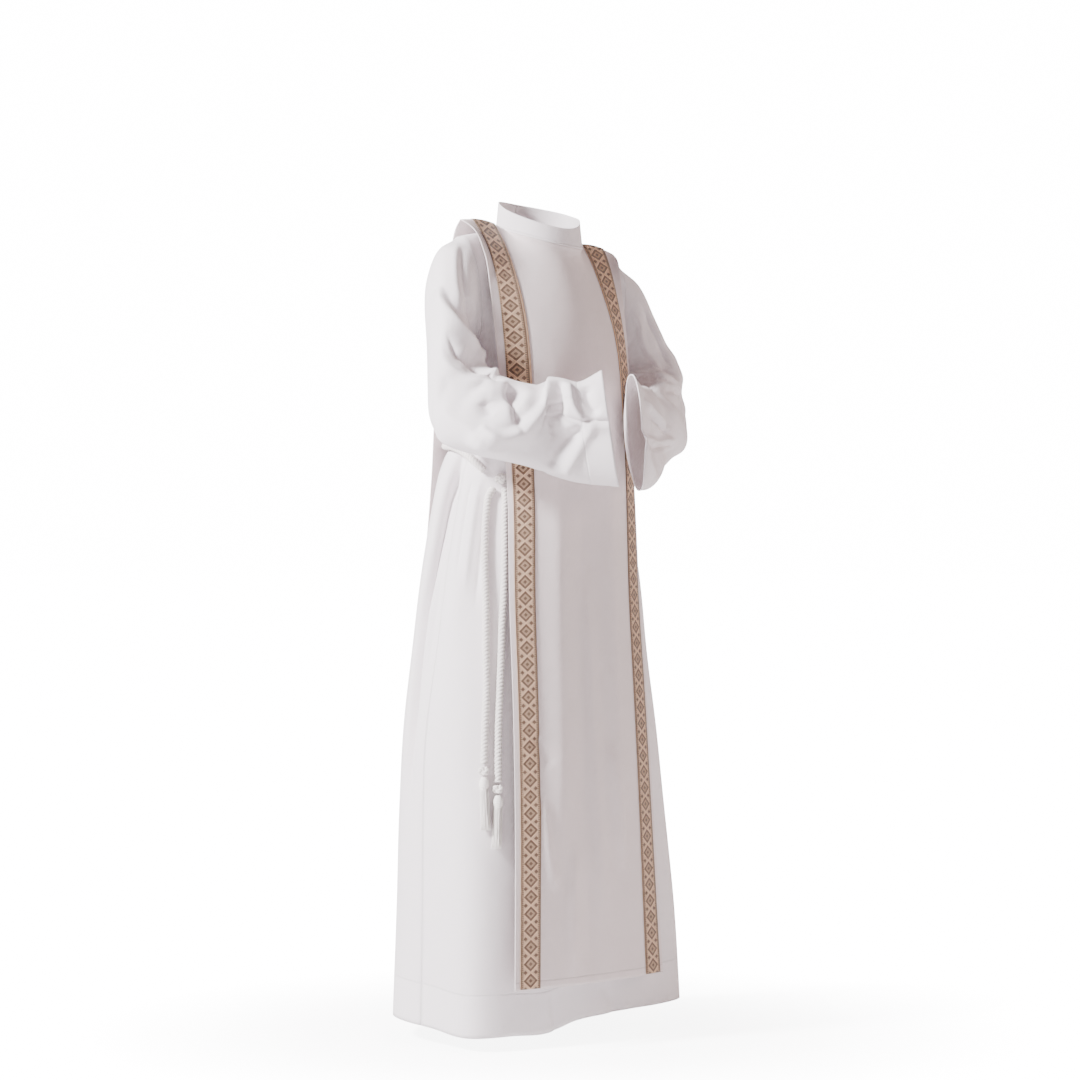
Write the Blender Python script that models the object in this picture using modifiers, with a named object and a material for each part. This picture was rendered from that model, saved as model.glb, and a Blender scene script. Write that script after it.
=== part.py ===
"""A child's first communion robe, worn and hollow: a white alb with a stand collar and wide sleeves,
a loose tabard hanging over it front and back with woven trims, and a knotted rope belt.

Metres, +Z up. The origin is the centre of the collar seam, between the shoulders. +X is the
wearer's left and the front faces -Y. A drop is a distance down from the origin. An angle round the
body is 0 at the front, 90 at the wearer's left, -90 at the right and 180 at the back.
"""
import math

import bmesh
import bpy
import numpy as np

CLOTH = 0.0015            # thickness of every cloth wall
TRIM_THICK = 0.0010       # woven trim, sewn flat on the tabard
SEAM = 0.0003             # gap between pieces that are sewn together
SIDE_SEAM = 0.0009        # gap between the alb's front and back
ARMHOLE_SEAM = 0.0011     # gap between the alb and each sleeve
ELBOW_SEAM = 0.0010       # gap between the left sleeve's two solids
HEM_DROP = 1.141          # alb hem
UNDERARM_DROP = 0.172     # where the side seam meets the armhole
SHOULDER_TILT = 0.13      # the wearer's left shoulder stands lower, in metres for each metre of X
TILT_FADE = (0.10, 0.35)  # drops between which that tilt fades out
BELT_DROP = 0.33          # level at which the sections below are cinched
WAIST_DROPS = (0.41, 0.38, 0.355, 0.33, 0.31, 0.285, 0.24)   # rows of points close to it
BELT_REACH = 0.10         # how far above and below it the slope of the belt is felt
ROPE = 0.011              # diameter of the twisted rope
BELT_CLEAR = 0.0032       # gap between the rope and the alb
TABARD_WIDTH = 0.26       # nominal width that turns the next two into shares of the tabard
TABARD_MARGIN = 0.007     # plain cloth outside each trim
TRIM_WIDTH = 0.030
TRIM_LIFT = 0.0015        # the trims end this far above the tabard's hem
COLLAR_THICK = 0.0018
COLLAR_LIFT = 0.0006      # further gap under the collar
ZIP_SLIT = 0.0006         # closed zip at the centre back
ZIP_LENGTH = 0.30
ZIP_ABOVE = 0.05          # the cutters of its slit reach this high, and are this deep
ZIP_DEPTH = 0.16
ZIP_PLACE = {"alb_back": 0.10, "scapular_back": 0.12}   # Y of their middles

BODY_COLUMNS = ("drop", "half", "front", "back", "square", "x", "y")
BODY_SECTIONS = (
    (0.155, 0.124, 0.094, 0.096, 2.20, 0.000, 0.000),
    (0.235, 0.122, 0.095, 0.096, 2.20, 0.000, 0.000),
    (0.290, 0.131, 0.100, 0.099, 2.20, 0.000, 0.000),
    (0.330, 0.128, 0.094, 0.091, 2.20, 0.000, 0.000),
    (0.370, 0.139, 0.102, 0.099, 2.20, -0.002, 0.002),
    (0.415, 0.150, 0.107, 0.105, 2.20, -0.003, 0.003),
    (0.475, 0.162, 0.112, 0.113, 2.25, -0.005, 0.003),
    (0.590, 0.180, 0.119, 0.126, 2.35, -0.007, 0.004),
    (0.710, 0.197, 0.125, 0.137, 2.50, -0.007, 0.005),
    (0.827, 0.204, 0.130, 0.143, 2.60, -0.005, 0.004),
    (0.974, 0.211, 0.133, 0.149, 2.70, -0.001, 0.001),
    (1.141, 0.217, 0.136, 0.154, 2.80, 0.001, 0.000),
)

BELT_COLUMNS = ("angle", "drop")
BELT_LINE = (
    (-180, 0.318), (-130, 0.308), (-95, 0.313), (-62, 0.352), (-30, 0.352), (30, 0.345),
    (90, 0.330), (140, 0.322), (180, 0.318),
)

FOLD_COLUMNS = ("angle", "width", "height", "start", "full", "fade", "end")
FOLDS = (
    (-118, 26, 0.014, 0.300, 0.350, 0.40, 0.75),
    (-95, 7, -0.011, 0.335, 0.390, 0.55, 0.80),
    (-76, 9, 0.006, 0.325, 0.380, 0.45, 0.62),
    (-52, 22, 0.024, 0.500, 1.100, 1.20, 1.30),
    (-38, 5, -0.006, 0.330, 0.370, 0.42, 0.58),
    (-20, 5, 0.004, 0.330, 0.370, 0.42, 0.58),
    (0, 6, -0.005, 0.330, 0.370, 0.42, 0.60),
    (18, 24, -0.012, 0.700, 1.120, 1.20, 1.30),
    (24, 5, 0.004, 0.330, 0.370, 0.42, 0.58),
    (44, 6, -0.006, 0.330, 0.370, 0.45, 0.62),
    (70, 9, 0.007, 0.325, 0.380, 0.50, 0.72),
    (66, 20, 0.007, 0.600, 1.100, 1.20, 1.30),
    (94, 8, -0.010, 0.340, 0.400, 0.60, 0.95),
    (112, 12, 0.009, 0.320, 0.400, 0.80, 1.30),
    (132, 8, -0.008, 0.330, 0.390, 0.60, 0.95),
    (150, 8, 0.006, 0.330, 0.390, 0.55, 0.85),
    (168, 7, -0.006, 0.330, 0.380, 0.50, 0.75),
    (-174, 8, 0.006, 0.330, 0.380, 0.50, 0.75),
    (-154, 8, -0.008, 0.330, 0.390, 0.60, 1.30),
    (-136, 9, -0.007, 0.345, 0.400, 0.60, 0.90),
    (-150, 14, 0.010, 0.600, 1.050, 1.20, 1.30),
)

ARM_COLUMNS = ("place", "outer x", "outer y", "outer z", "inner x", "inner y", "inner z", "half", "turn")
ARM_SECTIONS = (
    (0.00, -0.1480, 0.000, -0.0250, -0.1260, 0.000, -0.1720, 0.033, 0),
    (0.07, -0.1740, 0.000, -0.0490, -0.1275, -0.002, -0.1730, 0.042, 3),
    (0.15, -0.1940, 0.000, -0.0850, -0.1300, -0.008, -0.1750, 0.046, 8),
    (0.24, -0.2060, -0.003, -0.1300, -0.1350, -0.020, -0.1800, 0.046, 16),
    (0.33, -0.2115, -0.009, -0.1900, -0.1405, -0.040, -0.1930, 0.045, 28),
    (0.40, -0.2145, -0.012, -0.2330, -0.1440, -0.054, -0.2030, 0.044, 38),
    (0.46, -0.2160, -0.017, -0.2716, -0.1470, -0.068, -0.2098, 0.043, 44),
    (0.53, -0.2065, -0.030, -0.3020, -0.1495, -0.081, -0.2145, 0.042, 47),
    (0.61, -0.1880, -0.063, -0.3170, -0.1510, -0.099, -0.2200, 0.040, 48),
    (0.70, -0.1580, -0.097, -0.3265, -0.1350, -0.117, -0.2265, 0.036, 48),
    (0.80, -0.1160, -0.131, -0.3390, -0.1060, -0.137, -0.2300, 0.033, 48),
    (0.90, -0.0730, -0.167, -0.3580, -0.0710, -0.164, -0.2270, 0.030, 46),
    (1.00, -0.0260, -0.210, -0.3650, -0.0450, -0.195, -0.2055, 0.028, 42),
)
ARM_SQUARE = 2.2
ARM_LENGTH = 0.45         # nominal length and girth that turn places and angles on a sleeve into metres
ARM_GIRTH = 0.30
SLEEVE_ROWS = 23
SLEEVE_PIECES = (         # name, side, first ring and last ring
    ("sleeve_right", -1, 0, 22),
    ("sleeve_left", 1, 0, 11),
    ("sleeve_left_cuff", 1, 11, 22),
)
ARM_FOLDS_START = 0.08    # place by which the folds reach their full height
ARM_FOLD_COLUMNS = ("place 1", "angle 1", "place 2", "angle 2", "width", "height")
ARM_FOLDS = (
    (0.10, -140, 0.40, -125, 0.030, -0.009),
    (0.30, -60, 0.54, -165, 0.018, 0.008),
    (0.44, -70, 0.60, -150, 0.018, -0.006),
    (0.50, -70, 0.66, -60, 0.020, 0.006),
    (0.66, -60, 0.75, -110, 0.020, 0.008),
    (0.63, -110, 0.70, -140, 0.022, -0.011),
    (0.80, -160, 0.83, -110, 0.018, -0.007),
    (0.87, -175, 0.88, -110, 0.018, 0.006),
    (1.00, -88, 0.88, -85, 0.018, -0.005),
    (0.88, -85, 0.78, -45, 0.020, -0.006),
    (0.08, 0, 0.20, -60, 0.025, 0.005),
    (0.45, 40, 0.52, 150, 0.020, -0.006),
    (0.36, 60, 0.50, 160, 0.020, 0.006),
)
# How the left arm differs: its cuff is turned to face across the body, towards the right one.
LEFT_COLUMNS = ("place", "outer out", "outer up", "inner out", "inner up", "half", "turn")
LEFT_ARM = (
    (0.00, 0.002, 0.008, 0.002, 0.000, 0.000, 0),
    (0.07, 0.004, 0.011, 0.004, 0.002, 0.000, 0),
    (0.16, 0.000, 0.010, 0.000, 0.008, 0.000, 0),
    (0.30, 0.009, 0.024, 0.009, 0.018, 0.000, 0),
    (0.42, 0.015, 0.034, 0.015, 0.028, 0.000, 0),
    (0.55, 0.002, 0.018, 0.002, 0.028, -0.003, 0),
    (0.70, -0.006, -0.004, -0.006, 0.018, -0.006, -3),
    (0.85, -0.006, -0.010, -0.012, 0.008, -0.002, -18),
    (1.00, -0.014, -0.006, -0.035, 0.000, 0.001, -62),
)

HEM_COLUMNS = ("angle", "lift")
HEM_LIFTS = (
    (-180, 0.002), (-120, 0.007), (-85, 0.003), (-58, -0.004), (-35, -0.003), (-17, -0.003),
    (-6, 0.009), (0, 0.012), (30, 0.015), (60, 0.015), (90, 0.012), (130, 0.004), (180, 0.002),
)
HEM_FADE = 0.25           # height above the hem over which its lift fades out

TABARD_COLUMNS = ("drop", "right x", "right y", "left x", "left y", "bow")
TABARD_FRONT = (
    (0.140, -0.1275, -0.052, 0.1275, -0.052, 0.0500),
    (0.235, -0.1245, -0.064, 0.1240, -0.063, 0.0445),
    (0.290, -0.1225, -0.069, 0.1225, -0.067, 0.0425),
    (0.355, -0.1250, -0.079, 0.1205, -0.075, 0.0375),
    (0.535, -0.1380, -0.101, 0.1145, -0.095, 0.0280),
    (0.685, -0.1445, -0.117, 0.1150, -0.110, 0.0225),
    (0.835, -0.1510, -0.129, 0.1180, -0.120, 0.0200),
    (1.077, -0.1680, -0.149, 0.1275, -0.131, 0.0130),
)
TABARD_BACK = (
    (0.140, -0.1275, 0.066, 0.1275, 0.066, -0.0400),
    (0.235, -0.1250, 0.083, 0.1250, 0.083, -0.0290),
    (0.355, -0.1220, 0.097, 0.1220, 0.097, -0.0200),
    (0.450, -0.1240, 0.106, 0.1240, 0.106, -0.0190),
    (0.590, -0.1300, 0.119, 0.1300, 0.119, -0.0200),
    (0.710, -0.1340, 0.130, 0.1340, 0.130, -0.0180),
    (0.835, -0.1380, 0.139, 0.1380, 0.139, -0.0160),
    (1.077, -0.1460, 0.152, 0.1460, 0.152, -0.0120),
)
TABARD_EDGE_COLUMNS = ("rise", "x", "front y", "back y", "z")
TABARD_EDGE = (
    (0.00, 0.1275, -0.052, 0.066, -0.140),
    (0.30, 0.1285, -0.045, 0.058, -0.095),
    (0.62, 0.1310, -0.035, 0.042, -0.046),
    (0.85, 0.1390, -0.020, 0.022, -0.012),
    (1.00, 0.1460, 0.000, 0.000, 0.000),
)
NECK_HALF = 0.064
NECK_FRONT = 0.064
NECK_BACK = 0.054
NECK_RISE = 0.24          # the collar seam climbs to the back, in metres for each metre of Y
ALB_SINK = 0.0026         # the alb lies this far under the tabard at the shoulders
ALB_NECK = 0.90           # its neckline is this share of the tabard's
ALB_NECK_SINK = 0.008     # lies this much lower
ALB_HOLLOW = 0.014        # and its chest and upper back lie this much further in

SHOULDER_BULGE = 0.006    # how far each shoulder seam arches above a straight line

COLLAR_COLUMNS = ("angle", "height")
COLLAR_HEIGHTS = (
    (-180, 0.040), (-120, 0.037), (-77, 0.029), (-30, 0.025), (0, 0.026), (30, 0.033),
    (52, 0.041), (90, 0.044), (180, 0.040),
)
COLLAR_LEAN = 0.10        # the top edge is drawn in towards the neck by this share of its height

BELT_ENDS = (-41, 288)    # angles where the rope enters and leaves the knot
BELT_POINTS = 46
KNOT_CENTRE = (-0.1182, -0.0603, -0.3545)
KNOT_SIZE = (0.0085, 0.0070, 0.0080)
KNOT_GROOVE = 0.09        # depth of its grooves, as a share of its size
ROPE_ENDS = {
    "back": (
        (-0.1275, -0.0525, -0.3675), (-0.1340, -0.0503, -0.3780), (-0.1392, -0.0517, -0.3952),
        (-0.1437, -0.0541, -0.4167), (-0.1513, -0.0618, -0.4638), (-0.1580, -0.0727, -0.5349),
        (-0.1648, -0.0813, -0.6057), (-0.1694, -0.0880, -0.6550), (-0.1747, -0.0920, -0.6972),
        (-0.1783, -0.0948, -0.7296), (-0.1812, -0.0971, -0.7591)),
    "front": (
        (-0.1165, -0.0650, -0.3685), (-0.1185, -0.0684, -0.3823), (-0.1224, -0.0721, -0.4038),
        (-0.1273, -0.0778, -0.4395), (-0.1335, -0.0844, -0.4880), (-0.1375, -0.0877, -0.5235),
        (-0.1422, -0.0901, -0.5590), (-0.1474, -0.0942, -0.6057), (-0.1539, -0.0990, -0.6594),
        (-0.1595, -0.1029, -0.7073), (-0.1634, -0.1069, -0.7537), (-0.1657, -0.1096, -0.7850)),
}
END_KNOT_SIZE = (0.0072, 0.0072, 0.0085)
END_KNOT_PLACE = (-0.001, -0.001, -0.0097)      # its centre, from the end of the rope
TASSEL_PLACE = (-0.0005, -0.001, -0.0088)       # the tassel's top, from the knot's centre
TASSEL_HEAD = (0.0058, 0.020)   # radius and length
TASSEL_LENGTH = 0.075
TASSEL_LEAN = {"back": (-0.004, -0.009), "front": (-0.008, -0.006)}
STRAND_RINGS = ((0.0048, 11), (0.0022, 5))   # radius of each ring of strands and how many it holds
STRAND = (0.0009, 0.00072)      # radius of a strand where it starts and where it ends
STRAND_SPREAD = (0.88, 1.12)    # how far out it is there, as a share of its ring's radius
STRAND_START = -0.012           # height where it leaves the head

WHITE = (0.86, 0.85, 0.86, 1.0)
GOLD = (0.62, 0.47, 0.33, 1.0)
ROPE_WHITE = (0.82, 0.80, 0.78, 1.0)

robe = bpy.data.collections.new("first_communion_robe")
cutters = bpy.data.collections.new("cutters")


def reader(table, columns):
    """Returns a function that reads a named column of the table at any value of its first column,
    along a smooth curve through the rows, with slopes from each row's neighbours."""
    rows = np.array(table, float)
    key = rows[:, 0]

    def read(name, at):
        values = rows[:, columns.index(name)]
        slopes = np.gradient(values, key)
        at = np.clip(np.asarray(at, float), key[0], key[-1])
        low = np.clip(np.searchsorted(key, at, side="right") - 1, 0, len(key) - 2)
        span = key[low + 1] - key[low]
        t = (at - key[low]) / span
        start, end = values[low], values[low + 1]
        rise = slopes[low] * span
        land = slopes[low + 1] * span
        return ((2 * t**3 - 3 * t**2 + 1) * start + (t**3 - 2 * t**2 + t) * rise
                + (3 * t**2 - 2 * t**3) * end + (t**3 - t**2) * land)

    return read


body_at = reader(BODY_SECTIONS, BODY_COLUMNS)
belt_at = reader(BELT_LINE, BELT_COLUMNS)
arm_at = reader(ARM_SECTIONS, ARM_COLUMNS)
left_at = reader(LEFT_ARM, LEFT_COLUMNS)
collar_at = reader(COLLAR_HEIGHTS, COLLAR_COLUMNS)
edge_at = reader(TABARD_EDGE, TABARD_EDGE_COLUMNS)
hem_at = reader(HEM_LIFTS, HEM_COLUMNS)


def ease(low, high, value):
    """Rises smoothly from 0 at low to 1 at high."""
    t = np.clip((value - low) / (high - low), 0, 1)
    return t * t * (3 - 2 * t)


def tilted(points):
    """Lowers the wearer's left shoulder and lifts the right one, fading out towards the belt."""
    points = np.array(points, float)
    fade = 1 - ease(*TILT_FADE, -points[..., 2])
    points[..., 2] -= SHOULDER_TILT * points[..., 0] * fade
    return points


def wrapped(angle):
    return (angle + 180) % 360 - 180


def body_point(angle, drop):
    """Point of the alb round the body: a superellipse at each drop, with the folds added outwards."""
    angle, drop = np.broadcast_arrays(np.asarray(angle, float), np.asarray(drop, float))
    near_belt = np.exp(-((drop - BELT_DROP) / BELT_REACH) ** 2)
    level = drop - (belt_at("drop", wrapped(angle)) - BELT_DROP) * near_belt
    turn = np.radians(angle)
    side, ahead = np.sin(turn), np.cos(turn)
    power = 2 / body_at("square", level)
    x = body_at("half", level) * np.sign(side) * np.abs(side) ** power
    depth = np.where(ahead > 0, body_at("front", level), body_at("back", level))
    y = -depth * np.sign(ahead) * np.abs(ahead) ** power
    out = np.zeros_like(x)
    for row in FOLDS:
        fold = dict(zip(FOLD_COLUMNS, row))
        across = wrapped(angle - fold["angle"]) / fold["width"]
        shown = ease(fold["start"], fold["full"], level) * (1 - ease(fold["fade"], fold["end"], level))
        out += fold["height"] * np.exp(-across**2) * shown
    length = np.hypot(x, y)
    x = x * (1 + out / length) + body_at("x", level)
    y = y * (1 + out / length) + body_at("y", level)
    lift = hem_at("lift", wrapped(angle)) * ease(HEM_DROP - HEM_FADE, HEM_DROP, drop)
    return np.stack([x, y, lift - drop], -1)


def neck_point(angle):
    """Point of the collar seam: an ellipse round the neck that climbs to the back."""
    turn = np.radians(angle)
    x = NECK_HALF * np.sin(turn)
    y = -np.where(np.cos(turn) > 0, NECK_FRONT, NECK_BACK) * np.cos(turn)
    return np.stack([x, y, NECK_RISE * y], -1)


def arm_fold_height(place, round_angle):
    """Sums the sleeve's folds: each is a soft ridge or trough along a line from one place and angle
    on the sleeve to another, measured across in nominal metres."""
    here = np.stack([place * ARM_LENGTH, round_angle / 360 * ARM_GIRTH], -1)
    total = np.zeros(place.shape)
    for row in ARM_FOLDS:
        fold = dict(zip(ARM_FOLD_COLUMNS, row))
        start = np.array([fold["place 1"] * ARM_LENGTH, fold["angle 1"] / 360 * ARM_GIRTH])
        line = np.array([fold["place 2"] * ARM_LENGTH, fold["angle 2"] / 360 * ARM_GIRTH]) - start
        share = np.clip(((here - start) @ line) / (line @ line), 0, 1)
        away = np.linalg.norm(here - start - share[..., None] * line, axis=-1)
        total += fold["height"] * np.exp(-(away / fold["width"]) ** 2)
    return total * ease(0.0, ARM_FOLDS_START, place)


def arm_point(place, round_angle, side):
    """Point of a sleeve. Each ring is a superellipse between an outer and an inner point of the arm,
    with its width across them. Angle 0 is outer, 180 inner and -90 the front or far side."""
    place, round_angle = np.broadcast_arrays(np.asarray(place, float), np.asarray(round_angle, float))
    outer = np.stack([arm_at("outer " + axis, place) for axis in "xyz"], -1)
    inner = np.stack([arm_at("inner " + axis, place) for axis in "xyz"], -1)
    angle = np.radians(round_angle)
    power = 2 / ARM_SQUARE
    along = np.sign(np.cos(angle)) * np.abs(np.cos(angle)) ** power
    wide = np.sign(np.sin(angle)) * np.abs(np.sin(angle)) ** power
    half, turn = arm_at("half", place), arm_at("turn", place)
    if side > 0:
        half = half + left_at("half", place)
        turn = turn + left_at("turn", place)
        outer[..., 0] -= left_at("outer out", place)
        outer[..., 2] += left_at("outer up", place)
        inner[..., 0] -= left_at("inner out", place)
        inner[..., 2] += left_at("inner up", place)
    turn = np.radians(turn)
    across = np.stack([np.sin(turn), np.cos(turn), np.zeros_like(turn)], -1)
    spoke = along[..., None] * (outer - inner) / 2 + (wide * half)[..., None] * across
    spoke *= (1 + arm_fold_height(place, round_angle) / np.linalg.norm(spoke, axis=-1))[..., None]
    points = (outer + inner) / 2 + spoke
    points[..., 0] *= -side
    return points


def shoulder_line(count, side, front, neck, alb):
    """Points of a shoulder seam from its outer end to the neck, for the tabard or the alb under it."""
    t = np.linspace(0, 1, count)[:, None]
    if alb:
        tip = arm_point(0.0, 0.0, side) - (0, 0, ALB_SINK)
    else:
        tip = np.array([side * float(edge_at("x", 1.0)), 0.0, float(edge_at("z", 1.0))])
    tip[1] += (-1 if front else 1) * SEAM / 2
    line = tip + (neck - tip) * t
    line[:, 2] += SHOULDER_BULGE * np.sin(math.pi * t[:, 0])
    return line


def top_line(front, alb, shoulder_count, neck_count):
    """The upper edge of a panel: one shoulder seam, the neckline and the other shoulder seam."""
    turns = np.linspace(-90, 90 if front else -270, neck_count)
    neck = neck_point(turns)
    if alb:
        neck *= (ALB_NECK, ALB_NECK, 1)
        neck[:, 2] -= ALB_NECK_SINK
    neck[[0, -1], 1] = (-1 if front else 1) * SEAM / 2
    right = shoulder_line(shoulder_count, -1, front, neck[0], alb)
    left = shoulder_line(shoulder_count, 1, front, neck[-1], alb)[::-1]
    return np.concatenate([right, neck[1:-1], left])


def coons(bottom, top, right, left, rows):
    """Fills a patch between four edges: a blend from bottom to top, and near each side the bend of
    that side's edge away from its own chord."""
    v = np.linspace(0, 1, rows)[:, None, None]
    u = np.linspace(0, 1, len(bottom))[None, :, None]
    right_bend = right[:, None] - (1 - v) * bottom[0] - v * top[0]
    left_bend = left[:, None] - (1 - v) * bottom[-1] - v * top[-1]
    return (1 - v) * bottom[None] + v * top[None] + (1 - u) ** 4 * right_bend + u ** 4 * left_bend


def alb_panel_points(front, columns, drops, top_rows):
    """Grid of the alb's front or back, from the hem up to the shoulder seams and the neckline."""
    sign = -1 if front else 1
    angles = np.linspace(-90, 90 if front else -270, columns + 1)
    lower = body_point(angles[None, :], np.array(drops)[:, None])
    lower[:, [0, -1], 1] += sign * SIDE_SEAM / 2
    shoulder_count = columns // 4 + 1
    top = top_line(front, True, shoulder_count, columns - 2 * (shoulder_count - 1) + 1)
    around = np.linspace(180, 0, top_rows)
    right = arm_point(0.0, sign * around, -1)
    left = arm_point(0.0, sign * around, 1)
    for edge, end in ((right, lower[-1, 0]), (left, lower[-1, -1])):
        weight = np.linspace(1, 0, top_rows)[:, None] ** 2
        edge += (end - edge[0]) * weight
    right[-1], left[-1] = top[0], top[-1]
    upper = coons(lower[-1], top, right, left, top_rows)
    rise = np.linspace(0, 1, top_rows)[:, None]
    across = np.linspace(-1, 1, columns + 1)[None, :]
    upper[..., 1] -= sign * ALB_HOLLOW * np.sin(math.pi * rise**1.5) * (1 - np.abs(across) ** 3)
    return tilted(np.concatenate([lower, upper[1:]]))


def tabard_fractions(width):
    """Positions across the tabard: the edges of both trims and even steps between them."""
    outer, inner = TABARD_MARGIN / width, (TABARD_MARGIN + TRIM_WIDTH) / width
    edge = [0, outer, (outer + inner) / 2, inner]
    middle = np.linspace(inner, 1 - inner, 7)[1:-1]
    return np.concatenate([edge, middle, [1 - value for value in edge[::-1]]])


def tabard_points(front, drops, top_rows):
    """Grid of the tabard's front or back, from its hem up to the shoulder seams and the neckline."""
    read = reader(TABARD_FRONT if front else TABARD_BACK, TABARD_COLUMNS)
    fractions = tabard_fractions(TABARD_WIDTH)
    drop = np.array(drops)[:, None]
    across = fractions[None, :]
    x = read("right x", drop) * (1 - across) + read("left x", drop) * across
    chord = read("right y", drop) * (1 - across) + read("left y", drop) * across
    y = chord - read("bow", drop) * (1 - np.abs(2 * across - 1) ** 2.2)
    lower = np.stack([x, y, -drop + 0 * x], -1)
    top = top_line(front, False, 5, 5)
    rise = np.linspace(0, 1, top_rows)
    depth = edge_at("front y" if front else "back y", rise) + (-1 if front else 1) * SEAM / 2 * (rise == 1)
    right = np.stack([-edge_at("x", rise), depth, edge_at("z", rise)], -1)
    left = right * (-1, 1, 1)
    right[0], left[0] = lower[-1, 0], lower[-1, -1]
    upper = coons(lower[-1], top, right, left, top_rows)
    return tilted(np.concatenate([lower, upper[1:]]))


def grid_normals(points):
    """Unit normals of a grid, from the steps along its rows and columns."""
    across = np.gradient(points, axis=1)
    up = np.gradient(points, axis=0)
    normal = np.cross(across, up)
    return normal / np.linalg.norm(normal, axis=-1, keepdims=True)


def material(name, colour, roughness):
    found = bpy.data.materials.new(name)
    found.use_nodes = True
    shader = found.node_tree.nodes["Principled BSDF"]
    shader.inputs["Base Color"].default_value = colour
    shader.inputs["Roughness"].default_value = roughness
    shader.inputs["Metallic"].default_value = 0.0
    return found


def add_object(name, mesh, colour, roughness):
    mesh.materials.append(material(name, colour, roughness))
    mesh.shade_smooth()
    placed = bpy.data.objects.new(name, mesh)
    robe.objects.link(placed)
    return placed


def cloth(name, points, colour, thickness, outward=True, closed=False):
    """Makes a wall from a grid of points: the given side is the inner face, or the outer one where
    outward is False. A closed grid joins its last column to its first."""
    rows, columns = points.shape[:2]
    index = np.arange(rows * columns).reshape(rows, columns)
    if closed:
        index = np.concatenate([index, index[:, :1]], 1)
    corners = np.stack([index[:-1, :-1], index[:-1, 1:], index[1:, 1:], index[1:, :-1]], -1)
    mesh = bpy.data.meshes.new(name)
    mesh.from_pydata(points.reshape(-1, 3).tolist(), [], corners.reshape(-1, 4).tolist())
    placed = add_object(name, mesh, colour, 0.75)
    wall = placed.modifiers.new("Wall", "SOLIDIFY")
    wall.thickness = thickness
    wall.offset = 1.0 if outward else -1.0
    return placed


def cut_zip(target):
    """Cuts the slit of the closed zip at the centre back, from above the neckline down."""
    bottom = NECK_RISE * NECK_BACK - ZIP_LENGTH
    bpy.ops.mesh.primitive_cube_add(size=1, location=(0, ZIP_PLACE[target.name], (bottom + ZIP_ABOVE) / 2))
    cutter = bpy.context.object
    cutter.name = target.name + "_slit"
    cutter.scale = (ZIP_SLIT, ZIP_DEPTH, ZIP_ABOVE - bottom)
    cutter.hide_render = True
    cutter.display_type = "WIRE"
    for group in list(cutter.users_collection):
        group.objects.unlink(cutter)
    cutters.objects.link(cutter)
    cut = target.modifiers.new("Slit", "BOOLEAN")
    cut.operation = "DIFFERENCE"
    cut.object = cutter


def smooth_route(points, step):
    """Points every step metres along a smooth curve through the route's own points."""
    route = np.array(points, float)
    reach = np.concatenate([[0], np.cumsum(np.linalg.norm(np.diff(route, axis=0), axis=1))])
    table = np.column_stack([reach, route])
    read = reader(table, ("reach", "x", "y", "z"))
    at = np.linspace(0, reach[-1], int(round(reach[-1] / step)) + 1)
    return np.stack([read(axis, at) for axis in "xyz"], -1)


def rope(name, points):
    """Makes a round rope with filled ends along the points."""
    curve = bpy.data.curves.new(name, "CURVE")
    curve.dimensions = "3D"
    curve.bevel_depth = ROPE / 2
    curve.bevel_resolution = 2
    curve.use_fill_caps = True
    line = curve.splines.new("POLY")
    line.points.add(len(points) - 1)
    for place, point in zip(line.points, points):
        place.co = (*point, 1.0)
    curve.materials.append(material(name, ROPE_WHITE, 0.85))
    placed = bpy.data.objects.new(name, curve)
    robe.objects.link(placed)


def knot(name, centre, size):
    """Makes a rounded knot: a ball with slanting grooves between its turns of rope."""
    mesh = bpy.data.meshes.new(name)
    shape = bmesh.new()
    bmesh.ops.create_uvsphere(shape, u_segments=12, v_segments=8, radius=1.0)
    for vertex in shape.verts:
        x, y, z = vertex.co
        groove = 1 + KNOT_GROOVE * math.sin(3 * math.atan2(y, x) + 4 * z) * (1 - z * z)
        vertex.co = (x * size[0] * groove, y * size[1] * groove, z * size[2])
    shape.to_mesh(mesh)
    shape.free()
    add_object(name, mesh, ROPE_WHITE, 0.85).location = centre


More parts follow.
